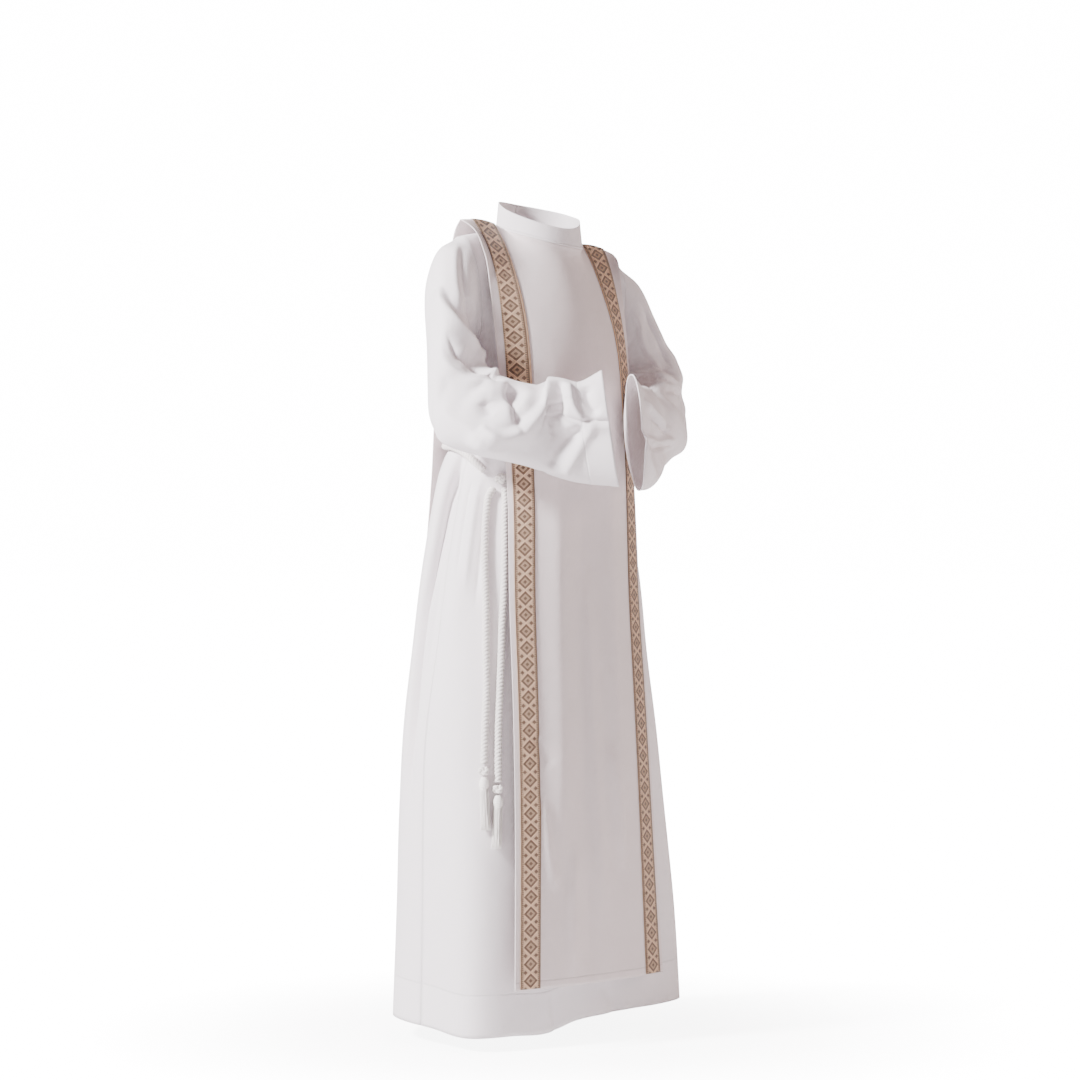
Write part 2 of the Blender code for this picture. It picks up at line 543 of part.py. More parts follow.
def tassel(name, top, lean):
    """Makes a tassel: a bound head, and strands that grow out of it and stand apart below."""
    strands = bmesh.new()
    for radius, count in STRAND_RINGS:
        for turn in np.arange(count) * 2 * math.pi / count:
            start = np.array([math.cos(turn) * radius, math.sin(turn) * radius, STRAND_START])
            end = start * (STRAND_SPREAD[1], STRAND_SPREAD[1], 0) + (lean[0], lean[1], -TASSEL_LENGTH)
            start[:2] *= STRAND_SPREAD[0]
            rings = []
            for point, thick in ((start, STRAND[0]), (end, STRAND[1])):
                rings.append([strands.verts.new((point[0] + thick * math.cos(turn + side),
                                                 point[1] + thick * math.sin(turn + side), point[2]))
                              for side in (0, 2 * math.pi / 3, 4 * math.pi / 3)])
            strands.faces.new(rings[0])
            strands.faces.new(rings[1][::-1])
            for side in range(3):
                after = (side + 1) % 3
                strands.faces.new((rings[0][after], rings[0][side], rings[1][side], rings[1][after]))
    mesh = bpy.data.meshes.new(name)
    strands.to_mesh(mesh)
    strands.free()
    placed = add_object(name, mesh, ROPE_WHITE, 0.85)
    placed.location = top
    head_mesh = bpy.data.meshes.new(name + "_head")
    head = bmesh.new()
    radius, length = TASSEL_HEAD
    bmesh.ops.create_uvsphere(head, u_segments=12, v_segments=7, radius=1.0)
    for vertex in head.verts:
        x, y, z = vertex.co
        vertex.co = (x * radius, y * radius, (z - 1) * length / 2)
    head.to_mesh(head_mesh)
    head.free()
    head_placed = bpy.data.objects.new(name + "_head", head_mesh)
    head_placed.location = top
    head_placed.hide_render = True
    head_placed.display_type = "WIRE"
    cutters.objects.link(head_placed)
    union = placed.modifiers.new("Head", "BOOLEAN")
    union.operation = "UNION"
    union.object = head_placed


def make_alb():
    drops = np.concatenate([np.linspace(HEM_DROP, 0.45, 9), WAIST_DROPS, [UNDERARM_DROP]])
    cloth("alb_front", alb_panel_points(True, 24, drops, 8), WHITE, CLOTH)
    back = cloth("alb_back", alb_panel_points(False, 22, drops, 8)[:, ::-1], WHITE, CLOTH)
    cut_zip(back)


def make_sleeves():
    """Makes the sleeves. The left one is two solids that meet at the elbow."""
    places = np.linspace(0, 1, SLEEVE_ROWS)
    around = np.linspace(-180, 180, 22)[:-1]
    for name, side, first, last in SLEEVE_PIECES:
        points = arm_point(places[:, None], around[None, :], side)
        points[0, :, 0] += side * ARMHOLE_SEAM
        if side > 0:
            points = points[:, ::-1]
        points = tilted(points)[first:last + 1]
        if first > 0:
            step = points[1] - points[0]
            points[0] += step * ELBOW_SEAM / np.linalg.norm(step, axis=1, keepdims=True)
        cloth(name, points, WHITE, CLOTH, closed=True)


def make_collar():
    gap = math.degrees(ZIP_SLIT / 2 / NECK_BACK)
    angles = np.linspace(-180 + gap, 180 - gap, 33)
    base = tilted(neck_point(angles))
    base[:, 2] += CLOTH + SEAM + COLLAR_LIFT
    rows = []
    for share in (0.0, 0.5, 1.0):
        row = base.copy()
        height = share * collar_at("height", angles)
        row[:, :2] *= (1 - COLLAR_LEAN * height / NECK_HALF)[:, None]
        row[:, 2] += height
        rows.append(row)
    cloth("collar", np.array(rows), WHITE, COLLAR_THICK)


def make_tabard():
    for name, front in (("front", True), ("back", False)):
        low, high = TABARD_FRONT[-1][0], TABARD_FRONT[0][0]
        drops = np.concatenate([np.linspace(low, 0.45, 9), np.linspace(0.40, high, 6)])
        points = tabard_points(front, drops, 8)
        if not front:
            points = points[:, ::-1]
        panel = cloth("scapular_" + name, points, WHITE, CLOTH)
        if not front:
            cut_zip(panel)
        lifted = points + grid_normals(points) * (CLOTH + SEAM)
        lifted[0, :, 2] += TRIM_LIFT
        first, last = ("right", "left") if front else ("left", "right")
        cloth("trim_%s_%s" % (name, first), lifted[:, 1:4], GOLD, TRIM_THICK)
        cloth("trim_%s_%s" % (name, last), lifted[:, -4:-1], GOLD, TRIM_THICK)


def belt_route():
    """The rope's route round the waist, just outside the alb, from one side of the knot to the other."""
    angles = np.linspace(*BELT_ENDS, BELT_POINTS)
    drops = belt_at("drop", wrapped(angles))
    inner = body_point(angles, drops)
    step = np.gradient(inner, axis=0)
    out = np.stack([step[:, 1], -step[:, 0], 0 * step[:, 0]], -1)
    out /= np.linalg.norm(out, axis=1, keepdims=True)
    return tilted(inner) + out * (CLOTH + ROPE / 2 + BELT_CLEAR)


def make_belt():
    rope("belt_rope", belt_route())
    knot("belt_knot", KNOT_CENTRE, KNOT_SIZE)
    for name, points in ROPE_ENDS.items():
        rope("rope_end_" + name, smooth_route(points, 2.5 * ROPE))
        centre = np.array(points[-1]) + END_KNOT_PLACE
        knot("end_knot_" + name, centre, END_KNOT_SIZE)
        tassel("tassel_" + name, centre + TASSEL_PLACE, TASSEL_LEAN[name])


def main():
    for old in list(bpy.data.objects):
        bpy.data.objects.remove(old)
    for group in (robe, cutters):
        bpy.context.scene.collection.children.link(group)
    make_alb()
    make_sleeves()
    make_collar()
    make_tabard()
    make_belt()


main()
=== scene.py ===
"""Looks of a child's first communion robe: a white alb with a stand collar and wide sleeves, a loose
tabard with woven trims over it, and a knotted rope belt with tassels.

Metres, +Z up. The origin is the centre of the collar seam. +X is the wearer's left and the front
faces -Y. A drop is a distance down from the origin. An angle round the body is 0 at the front, 90 at
the wearer's left, -90 at the right and 180 at the back. A place runs along a sleeve from 0 at the
armhole to 1 at the cuff, and round a sleeve 0 is the outer side, 180 the inner one, and -90 faces the
viewer on the right sleeve.
"""
import math

import bpy
import numpy as np
from mathutils import Matrix, Vector


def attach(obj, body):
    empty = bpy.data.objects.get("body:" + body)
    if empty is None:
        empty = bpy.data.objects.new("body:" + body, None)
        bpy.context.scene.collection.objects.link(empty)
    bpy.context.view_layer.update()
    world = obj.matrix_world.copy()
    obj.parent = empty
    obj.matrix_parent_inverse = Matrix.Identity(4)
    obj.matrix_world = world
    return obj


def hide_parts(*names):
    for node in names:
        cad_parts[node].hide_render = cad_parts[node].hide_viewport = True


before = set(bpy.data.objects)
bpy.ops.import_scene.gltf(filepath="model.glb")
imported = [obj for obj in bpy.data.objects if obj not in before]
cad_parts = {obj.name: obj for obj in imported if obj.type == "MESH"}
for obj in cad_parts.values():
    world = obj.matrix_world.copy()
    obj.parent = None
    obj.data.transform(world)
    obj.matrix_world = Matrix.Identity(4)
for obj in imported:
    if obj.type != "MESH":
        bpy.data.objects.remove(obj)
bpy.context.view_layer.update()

bl_info = {
    "name": "First Communion Robe",
    "version": (1, 0, 0),
    "blender": (4, 5, 0),
    "location": "View3D > Sidebar > Robe",
    "description": "Builds a worn, hollow first communion robe with its trims and rope belt",
    "category": "Add Mesh",
}

CLOTH = 0.0015            # thickness of the cloth walls in the frame
SEAM = 0.0003             # gap between pieces that are sewn together
SLEEVE_TUCK = 0.0010      # the sleeves reach this far into the alb's armholes
HEM_DROP = 1.141
UNDERARM_DROP = 0.172
SHOULDER_TILT = 0.13      # the wearer's left shoulder stands lower, in metres for each of X
TILT_FADE = (0.10, 0.35)  # drops between which that tilt fades out
BELT_DROP = 0.33          # level at which the sections below are cinched
BELT_REACH = 0.10         # how far above and below it the slope of the belt is felt
BELT_CLEAR = 0.0032       # gap between the rope and the alb
TABARD_WIDTH = 0.26
TABARD_BANDS = 12
TABARD_MARGIN = 0.007     # plain cloth outside each trim
TRIM_LIFT = 0.0015        # the trims end this far above the tabard's hem
RELAX_ROWS = 40           # rows below the tabard's patch that are softened with it
RELAX_TIMES = 200
TRIM_WIDTH = 0.030
TRIM_THICK = 0.0010
COLLAR_THICK = 0.0018
ZIP_SLIT = 0.0006         # closed zip at the centre back
ZIP_LENGTH = 0.30

BODY_COLUMNS = ("drop", "half", "front", "back", "square", "x", "y")
BODY_SECTIONS = (
    (0.155, 0.124, 0.094, 0.096, 2.20, 0.000, 0.000),
    (0.235, 0.122, 0.095, 0.096, 2.20, 0.000, 0.000),
    (0.290, 0.131, 0.100, 0.099, 2.20, 0.000, 0.000),
    (0.330, 0.128, 0.094, 0.091, 2.20, 0.000, 0.000),
    (0.370, 0.139, 0.102, 0.099, 2.20, -0.002, 0.002),
    (0.415, 0.150, 0.107, 0.105, 2.20, -0.003, 0.003),
    (0.475, 0.162, 0.112, 0.113, 2.25, -0.005, 0.003),
    (0.590, 0.180, 0.119, 0.126, 2.35, -0.007, 0.004),
    (0.710, 0.197, 0.125, 0.137, 2.50, -0.007, 0.005),
    (0.827, 0.204, 0.130, 0.143, 2.60, -0.005, 0.004),
    (0.974, 0.211, 0.133, 0.149, 2.70, -0.001, 0.001),
    (1.141, 0.217, 0.136, 0.154, 2.80, 0.001, 0.000),
)
BELT_COLUMNS = ("angle", "drop")
BELT_LINE = (
    (-180, 0.318), (-130, 0.308), (-95, 0.313), (-62, 0.352), (-30, 0.352), (30, 0.345),
    (90, 0.330), (140, 0.322), (180, 0.318),
)
FOLD_COLUMNS = ("angle", "width", "height", "start", "full", "fade", "end")
FOLDS = (
    (-118, 26, 0.014, 0.300, 0.350, 0.40, 0.75),
    (-95, 7, -0.011, 0.335, 0.390, 0.55, 0.80),
    (-76, 9, 0.006, 0.325, 0.380, 0.45, 0.62),
    (-52, 22, 0.024, 0.500, 1.100, 1.20, 1.30),
    (-38, 5, -0.006, 0.330, 0.370, 0.42, 0.58),
    (-20, 5, 0.004, 0.330, 0.370, 0.42, 0.58),
    (0, 6, -0.005, 0.330, 0.370, 0.42, 0.60),
    (18, 24, -0.012, 0.700, 1.120, 1.20, 1.30),
    (24, 5, 0.004, 0.330, 0.370, 0.42, 0.58),
    (44, 6, -0.006, 0.330, 0.370, 0.45, 0.62),
    (70, 9, 0.007, 0.325, 0.380, 0.50, 0.72),
    (66, 20, 0.007, 0.600, 1.100, 1.20, 1.30),
    (94, 8, -0.010, 0.340, 0.400, 0.60, 0.95),
    (112, 12, 0.009, 0.320, 0.400, 0.80, 1.30),
    (132, 8, -0.008, 0.330, 0.390, 0.60, 0.95),
    (150, 8, 0.006, 0.330, 0.390, 0.55, 0.85),
    (168, 7, -0.006, 0.330, 0.380, 0.50, 0.75),
    (-174, 8, 0.006, 0.330, 0.380, 0.50, 0.75),
    (-154, 8, -0.008, 0.330, 0.390, 0.60, 1.30),
    (-136, 9, -0.007, 0.345, 0.400, 0.60, 0.90),
    (-150, 14, 0.010, 0.600, 1.050, 1.20, 1.30),
)
ARM_COLUMNS = ("place", "outer x", "outer y", "outer z", "inner x", "inner y", "inner z", "half", "turn")
ARM_SECTIONS = (
    (0.00, -0.1480, 0.000, -0.0250, -0.1260, 0.000, -0.1720, 0.033, 0),
    (0.07, -0.1740, 0.000, -0.0490, -0.1275, -0.002, -0.1730, 0.042, 3),
    (0.15, -0.1940, 0.000, -0.0850, -0.1300, -0.008, -0.1750, 0.046, 8),
    (0.24, -0.2060, -0.003, -0.1300, -0.1350, -0.020, -0.1800, 0.046, 16),
    (0.33, -0.2115, -0.009, -0.1900, -0.1405, -0.040, -0.1930, 0.045, 28),
    (0.40, -0.2145, -0.012, -0.2330, -0.1440, -0.054, -0.2030, 0.044, 38),
    (0.46, -0.2160, -0.017, -0.2716, -0.1470, -0.068, -0.2098, 0.043, 44),
    (0.53, -0.2065, -0.030, -0.3020, -0.1495, -0.081, -0.2145, 0.042, 47),
    (0.61, -0.1880, -0.063, -0.3170, -0.1510, -0.099, -0.2200, 0.040, 48),
    (0.70, -0.1580, -0.097, -0.3265, -0.1350, -0.117, -0.2265, 0.036, 48),
    (0.80, -0.1160, -0.131, -0.3390, -0.1060, -0.137, -0.2300, 0.033, 48),
    (0.90, -0.0730, -0.167, -0.3580, -0.0710, -0.164, -0.2270, 0.030, 46),
    (1.00, -0.0260, -0.210, -0.3650, -0.0450, -0.195, -0.2055, 0.028, 42),
)
ARM_SQUARE = 2.2
ARM_LENGTH = 0.45         # turns places and angles on a sleeve into metres
ARM_GIRTH = 0.30
ARM_FOLD_COLUMNS = ("place 1", "angle 1", "place 2", "angle 2", "width", "height")
ARM_FOLDS = (
    (0.10, -140, 0.40, -125, 0.030, -0.009),
    (0.30, -60, 0.54, -165, 0.018, 0.008),
    (0.44, -70, 0.60, -150, 0.018, -0.006),
    (0.50, -70, 0.66, -60, 0.020, 0.006),
    (0.66, -60, 0.75, -110, 0.020, 0.008),
    (0.63, -110, 0.70, -140, 0.022, -0.011),
    (0.80, -160, 0.83, -110, 0.018, -0.007),
    (0.87, -175, 0.88, -110, 0.018, 0.006),
    (1.00, -88, 0.88, -85, 0.018, -0.005),
    (0.88, -85, 0.78, -45, 0.020, -0.006),
    (0.08, 0, 0.20, -60, 0.025, 0.005),
    (0.45, 40, 0.52, 150, 0.020, -0.006),
    (0.36, 60, 0.50, 160, 0.020, 0.006),
)
LEFT_COLUMNS = ("place", "outer out", "outer up", "inner out", "inner up", "half", "turn")
LEFT_ARM = (
    (0.00, 0.002, 0.008, 0.002, 0.000, 0.000, 0),
    (0.07, 0.004, 0.011, 0.004, 0.002, 0.000, 0),
    (0.16, 0.000, 0.010, 0.000, 0.008, 0.000, 0),
    (0.30, 0.009, 0.024, 0.009, 0.018, 0.000, 0),
    (0.42, 0.015, 0.034, 0.015, 0.028, 0.000, 0),
    (0.55, 0.002, 0.018, 0.002, 0.028, -0.003, 0),
    (0.70, -0.006, -0.004, -0.006, 0.018, -0.006, -3),
    (0.85, -0.006, -0.010, -0.012, 0.008, -0.002, -18),
    (1.00, -0.014, -0.006, -0.035, 0.000, 0.001, -62),
)
HEM_COLUMNS = ("angle", "lift")
HEM_LIFTS = (
    (-180, 0.002), (-120, 0.007), (-85, 0.003), (-58, -0.004), (-35, -0.003), (-17, -0.003),
    (-6, 0.009), (0, 0.012), (30, 0.015), (60, 0.015), (90, 0.012), (130, 0.004), (180, 0.002),
)
HEM_FADE = 0.25           # height above the hem over which its lift fades out
TABARD_COLUMNS = ("drop", "right x", "right y", "left x", "left y", "bow")
TABARD_FRONT = (
    (0.140, -0.1275, -0.052, 0.1275, -0.052, 0.0500),
    (0.235, -0.1245, -0.064, 0.1240, -0.063, 0.0445),
    (0.290, -0.1225, -0.069, 0.1225, -0.067, 0.0425),
    (0.355, -0.1250, -0.079, 0.1205, -0.075, 0.0375),
    (0.535, -0.1380, -0.101, 0.1145, -0.095, 0.0280),
    (0.685, -0.1445, -0.117, 0.1150, -0.110, 0.0225),
    (0.835, -0.1510, -0.129, 0.1180, -0.120, 0.0200),
    (1.077, -0.1680, -0.149, 0.1275, -0.131, 0.0130),
)
TABARD_BACK = (
    (0.140, -0.1275, 0.066, 0.1275, 0.066, -0.0400),
    (0.235, -0.1250, 0.083, 0.1250, 0.083, -0.0290),
    (0.355, -0.1220, 0.097, 0.1220, 0.097, -0.0200),
    (0.450, -0.1240, 0.106, 0.1240, 0.106, -0.0190),
    (0.590, -0.1300, 0.119, 0.1300, 0.119, -0.0200),
    (0.710, -0.1340, 0.130, 0.1340, 0.130, -0.0180),
    (0.835, -0.1380, 0.139, 0.1380, 0.139, -0.0160),
    (1.077, -0.1460, 0.152, 0.1460, 0.152, -0.0120),
)
TABARD_EDGE_COLUMNS = ("rise", "x", "front y", "back y", "z")
TABARD_EDGE = (
    (0.00, 0.1275, -0.052, 0.066, -0.140),
    (0.30, 0.1285, -0.045, 0.058, -0.095),
    (0.62, 0.1310, -0.035, 0.042, -0.046),
    (0.85, 0.1390, -0.020, 0.022, -0.012),
    (1.00, 0.1460, 0.000, 0.000, 0.000),
)
NECK_HALF = 0.064
NECK_FRONT = 0.064
NECK_BACK = 0.054
NECK_RISE = 0.24
ALB_SINK = 0.0026         # the alb lies this far under the tabard at the shoulders
ALB_NECK = 0.90           # its neckline is this share of the tabard's
ALB_NECK_SINK = 0.008     # and lies this much lower
ALB_HOLLOW = 0.014        # its chest and upper back lie this much further in
SHOULDER_BULGE = 0.006    # how far each shoulder seam arches above a straight line
COLLAR_COLUMNS = ("angle", "height")
COLLAR_HEIGHTS = (
    (-180, 0.040), (-120, 0.037), (-77, 0.029), (-30, 0.025), (0, 0.026), (30, 0.033),
    (52, 0.041), (90, 0.044), (180, 0.040),
)
COLLAR_LEAN = 0.10        # how far its top edge is drawn in, as a share of its height
COLLAR_SINK = 0.0005      # the collar starts this far under the neckline
BELT_ENDS = (-41, 288)    # angles where the rope enters and leaves the knot
ROPE = 0.011
KNOT_CENTRE = (-0.1182, -0.0603, -0.3545)
ROPE_ENDS = {
    "back": (
        (-0.1275, -0.0525, -0.3675), (-0.1340, -0.0503, -0.3780), (-0.1392, -0.0517, -0.3952),
        (-0.1437, -0.0541, -0.4167), (-0.1513, -0.0618, -0.4638), (-0.1580, -0.0727, -0.5349),
        (-0.1648, -0.0813, -0.6057), (-0.1694, -0.0880, -0.6550), (-0.1747, -0.0920, -0.6972),
        (-0.1783, -0.0948, -0.7296), (-0.1812, -0.0971, -0.7591)),
    "front": (
        (-0.1165, -0.0650, -0.3685), (-0.1185, -0.0684, -0.3823), (-0.1224, -0.0721, -0.4038),
        (-0.1273, -0.0778, -0.4395), (-0.1335, -0.0844, -0.4880), (-0.1375, -0.0877, -0.5235),
        (-0.1422, -0.0901, -0.5590), (-0.1474, -0.0942, -0.6057), (-0.1539, -0.0990, -0.6594),
        (-0.1595, -0.1029, -0.7073), (-0.1634, -0.1069, -0.7537), (-0.1657, -0.1096, -0.7850)),
}
END_KNOT_PLACE = (-0.001, -0.001, -0.0097)     # its centre, from the end of the rope
TASSEL_PLACE = (-0.0005, -0.001, -0.0088)      # the tassel's top, from the knot's centre
TASSEL_HEAD = (0.0058, 0.020)   # radius and length
TASSEL_LENGTH = 0.075
TASSEL_LEAN = {"back": (-0.004, -0.009), "front": (-0.008, -0.006)}
TASSEL_THREADS = 70
TASSEL_SPREAD = (0.0060, 0.0012)  # how far out the threads hang at the top, and how much further below
TASSEL_BRIGHTER = 1.12
HEAD_SHAPE = (0.25, 0.92, 0.06, 0.6)   # least radius, sweep and start of its sine wave, and its power
HEAD_RIDGES = (0.05, 40)  # depth and count, in radians, of the whipping round the head
HEAD_GRID = (25, 16)
HEAD_COVER = 0.75         # share of the head that the threads start below
THREAD_GRID = (9, 5)
THREAD_RADIUS = 0.00055
THREAD_SWAY = (0.0007, 5)
THREAD_SHORTEST = 0.965
THREAD_TURN = 2.39996     # the golden angle spreads the threads evenly
THREAD_SEED = 7

SIDE_BEND_POWER = 4       # how fast the bend of a patch's side edge fades inwards
HOLLOW_POWERS = (1.5, 3)  # up the chest, and across it
BOW_POWER = 2.2
ARM_FOLDS_START = 0.08    # place by which the sleeve's folds reach their full height
TUCK_END = 0.05
TABARD_STEPS = 7          # places between the trims that the bands end at
TRIM_BANDS = (1, 9)       # first band of each trim
ALB_GRID = {"front": (196, 160), "back": (184, 140)}
ALB_TOP_ROWS = 36
SLEEVE_GRID = (184, 200)
TABARD_GRID = {"front": (10, 210), "back": (8, 170)}
TABARD_TOP_ROWS = 46
COLLAR_GRID = (17, 193)
ROPE_STRANDS = 3
ROPE_SIDES = 24
ROPE_DEPTH = 0.34
ROPE_POWER = 0.6          # below 1 makes the dips between the strands narrow
ROPE_STEP = 0.0012
BELT_STEP = 0.0015
PATH_STEP = 0.01
TURN_POINTS = 181         # points round the belt, and round a knot
BELT_KNOT = (0.0105, 0.0045)   # radius of the knot and of its rope
END_KNOT = (0.0085, 0.0036)
KNOT_RISE = 1.7
KNOT_PITCH = 0.0140       # the strands' lay is tighter in the knots

CREASE_POINTS = 25
CREASE_REACH = 3.0        # a crease is felt this many widths away
CREASE_HOLD = 1.8
CREASE_POWER = 1.6
CREASE_COLUMNS = ("height", "left", "right", "line")
SKIRT_CREASES = (
    (-0.0170, 0.014, 0.0060, ((-94, 0.30), (-97.3, 0.35), (-100, 0.386), (-101.3, 0.444), (-103.7, 0.502),
                              (-106, 0.56), (-105, 0.646), (-103, 0.731), (-102, 0.87))),
    (0.0060, 0.010, 0.0060, ((-88, 0.33), (-92, 0.36), (-95, 0.401), (-96.5, 0.451), (-98.7, 0.508),
                            (-100.5, 0.573), (-99, 0.66), (-97, 0.78))),
    (-0.0030, 0.004, 0.004, ((-80, 0.355), (-79, 0.42), (-78, 0.50))),
    (0.0030, 0.005, 0.005, ((-74, 0.355), (-72, 0.43), (-71, 0.52))),
    (-0.0025, 0.004, 0.004, ((-66, 0.37), (-64, 0.45), (-63, 0.54))),
    (-0.0040, 0.006, 0.006, ((-140, 0.34), (-142, 0.45), (-143, 0.62))),
    (0.0040, 0.006, 0.006, ((-150, 0.34), (-150, 0.50), (-151, 0.70))),
    (-0.0040, 0.006, 0.006, ((100, 0.35), (101, 0.50), (101, 0.72))),
    (0.0040, 0.006, 0.006, ((108, 0.35), (109, 0.50), (109, 0.70))),
    (-0.0030, 0.004, 0.008, ((-15, 1.17), (-15, 1.135), (-16, 1.108), (-17, 1.085))),
    (-0.0040, 0.012, 0.012, ((6, 1.17), (5, 1.135), (3, 1.115), (1, 1.09))),
)
RIGHT_CREASES = (
    (0.0120, 0.0035, 0.016, ((0.19, -28), (0.215, -40), (0.24, -56), (0.262, -82), (0.285, -125),
                             (0.33, -160), (0.37, -178))),
    (-0.0060, 0.010, 0.016, ((0.14, -80), (0.19, -105), (0.23, -140), (0.29, -172))),
    (-0.0080, 0.010, 0.0035, ((0.29, -58), (0.325, -73), (0.35, -85), (0.383, -109), (0.47, -135),
                              (0.56, -150), (0.66, -166))),
    (0.0070, 0.0035, 0.012, ((0.31, -48), (0.345, -62), (0.37, -76), (0.41, -98), (0.50, -128), (0.60, -148),
                            (0.70, -164))),
    (0.0030, 0.006, 0.006, ((0.03, -15), (0.12, -45), (0.22, -78))),
    (-0.0030, 0.006, 0.006, ((0.03, -28), (0.12, -65), (0.20, -105))),
    (0.0150, 0.0040, 0.018, ((0.640, -78), (0.665, -74), (0.690, -73.5), (0.715, -75.5), (0.748, -83),
                             (0.782, -97), (0.807, -119), (0.826, -144), (0.830, -172), (0.830, 175))),
    (-0.0040, 0.010, 0.010, ((0.60, -110), (0.63, -98), (0.66, -90))),
    (-0.0130, 0.020, 0.0035, ((0.66, -170), (0.675, -150), (0.685, -136), (0.72, -105),
                              (0.745, -91), (0.765, -82))),
    (-0.0120, 0.0035, 0.011, ((0.855, -165), (0.866, -146), (0.872, -124), (0.874, -107))),
    (0.0070, 0.003, 0.008, ((0.885, -160), (0.893, -140), (0.903, -120), (0.925, -107), (0.945, -103))),
    (-0.0080, 0.008, 0.008, ((0.945, -150), (0.945, -130), (0.955, -115), (0.975, -104))),
    (-0.0050, 0.005, 0.0025, ((1.06, -98), (1.0, -98), (0.965, -100.5), (0.93, -103.5),
                              (0.89, -107), (0.855, -111), (0.81, -107))),
    (0.0050, 0.010, 0.0035, ((1.06, -92), (0.99, -93), (0.93, -98), (0.87, -103))),
    (-0.0070, 0.010, 0.006, ((0.945, -103), (0.915, -95), (0.895, -87), (0.865, -66),
                             (0.848, -44), (0.845, -30))),
    (0.0060, 0.006, 0.016, ((0.965, -98), (0.94, -85), (0.915, -66), (0.89, -40), (0.885, -20))),
    (0.0020, 0.010, 0.010, ((0.60, -58), (0.685, -50), (0.76, -38), (0.82, -30))),
    (0.0035, 0.010, 0.006, ((0.47, -66), (0.573, -71), (0.655, -62), (0.723, -47))),
    (-0.0040, 0.010, 0.010, ((0.40, -30), (0.47, -20), (0.52, -5))),
)
LEFT_CREASES = (
    (0.0070, 0.0035, 0.010, ((0.99, -86), (0.943, -85.5), (0.90, -84.5), (0.85, -83), (0.80, -80),
                             (0.755, -75))),
    (-0.0060, 0.010, 0.0035, ((0.99, -78), (0.93, -77), (0.87, -75), (0.80, -71), (0.75, -66))),
    (0.0070, 0.003, 0.008, ((0.97, -128), (0.953, -123), (0.925, -118), (0.90, -113),
                            (0.85, -104), (0.79, -90))),
    (-0.0070, 0.008, 0.003, ((0.96, -112), (0.92, -107), (0.88, -102), (0.84, -95), (0.80, -86))),
    (0.0040, 0.004, 0.012, ((0.68, -176), (0.64, -166), (0.603, -154.5), (0.52, -128), (0.448, -101.5))),
    (-0.0045, 0.010, 0.004, ((0.70, -160), (0.65, -150), (0.60, -138), (0.54, -118), (0.48, -98))),
    (0.0060, 0.006, 0.010, ((1.02, -92), (0.995, -80), (0.975, -63.5), (0.94, -45), (0.91, -30))),
    (-0.0050, 0.008, 0.004, ((0.94, -80), (0.92, -66), (0.90, -52), (0.885, -36))),
    (-0.0040, 0.008, 0.008, ((0.868, -65), (0.82, -60), (0.782, -56), (0.73, -60))),
    (0.0040, 0.008, 0.010, ((0.30, -142), (0.40, -155), (0.50, -165))),
    (-0.0045, 0.004, 0.008, ((0.06, -60.5), (0.145, -69.5), (0.20, -76), (0.258, -84), (0.33, -96))),
    (0.0045, 0.006, 0.004, ((0.028, -80), (0.118, -94.5), (0.20, -106), (0.29, -118.5), (0.36, -130))),
)
TABARD_CREASES = {
    "front": (
        (0.0065, 0.026, 0.020, ((0.353, 0.80), (0.349, 0.43), (0.34, 0.14))),
        (-0.0030, 0.024, 0.024, ((0.467, 0.80), (0.467, 0.43), (0.452, 0.12))),
        (0.0075, 0.024, 0.020, ((0.612, 0.80), (0.624, 0.43), (0.633, 0.16))),
        (0.0050, 0.014, 0.010, ((0.49, 0.52), (0.505, 0.30), (0.53, 0.07))),
        (-0.0025, 0.008, 0.014, ((0.237, 0.314), (0.271, 0.296), (0.308, 0.274))),
        (0.0045, 0.008, 0.012, ((0.257, 0.240), (0.283, 0.173), (0.318, 0.118))),
        (0.0045, 0.008, 0.012, ((0.584, 0.303), (0.615, 0.224), (0.647, 0.138))),
        (0.0050, 0.012, 0.010, ((0.402, 0.176), (0.388, 0.087), (0.392, 0.015))),
        (-0.0025, 0.012, 0.014, ((0.465, 0.140), (0.472, 0.069), (0.48, 0.006))),
    ),
    "back": (
        (0.0040, 0.020, 0.024, ((0.30, 0.74), (0.31, 0.43), (0.33, 0.12))),
        (-0.0040, 0.018, 0.018, ((0.44, 0.70), (0.43, 0.40), (0.42, 0.10))),
        (0.0035, 0.020, 0.020, ((0.62, 0.68), (0.64, 0.40), (0.66, 0.08))),
        (-0.0030, 0.008, 0.012, ((0.72, 0.30), (0.68, 0.22), (0.66, 0.14))),
    ),
}

SLEEVE_NODES = {"right": ("sleeve_right",), "left": ("sleeve_left", "sleeve_left_cuff")}

CLOTH_SHADER = {"Roughness": 0.78, "Sheen Weight": 0.25, "Sheen Roughness": 0.55, "Specular IOR Level": 0.25}
BRAID_SHADER = {"Roughness": 0.42, "Sheen Weight": 0.15, "Specular IOR Level": 0.4}
YARN_SHADER = {"Roughness": 0.9, "Sheen Weight": 0.4, "Sheen Roughness": 0.5, "Specular IOR Level": 0.2}
FLOOR_SHADER = {"Roughness": 0.9, "Base Color": (0.93, 0.93, 0.94, 1.0)}
BRIGHTEST = 0.97
CLOTH_DARKER = 0.93
CLOTH_BRIGHTER = 1.03
CLOTH_SHARES = (0.55, 0.5, 0.35)   # of uneven thread, of the turned hem and of the painted shade in the stitched groove
UNEVEN_RANGE = (0.3, 0.7)
UNEVEN_STRETCH = ((60.0, 1400.0, 1.0), (1400.0, 60.0, 1.0))
RUMPLE = {"Scale": 22.0, "Detail": 3.0, "Roughness": 0.5}
HEM_EDGE = 0.0006
HEM_RISE = 0.6
PAINTED_INSIDE_GLOW = 0.10        # painted glow: emission that stands in for light coming through the sleeves' cloth
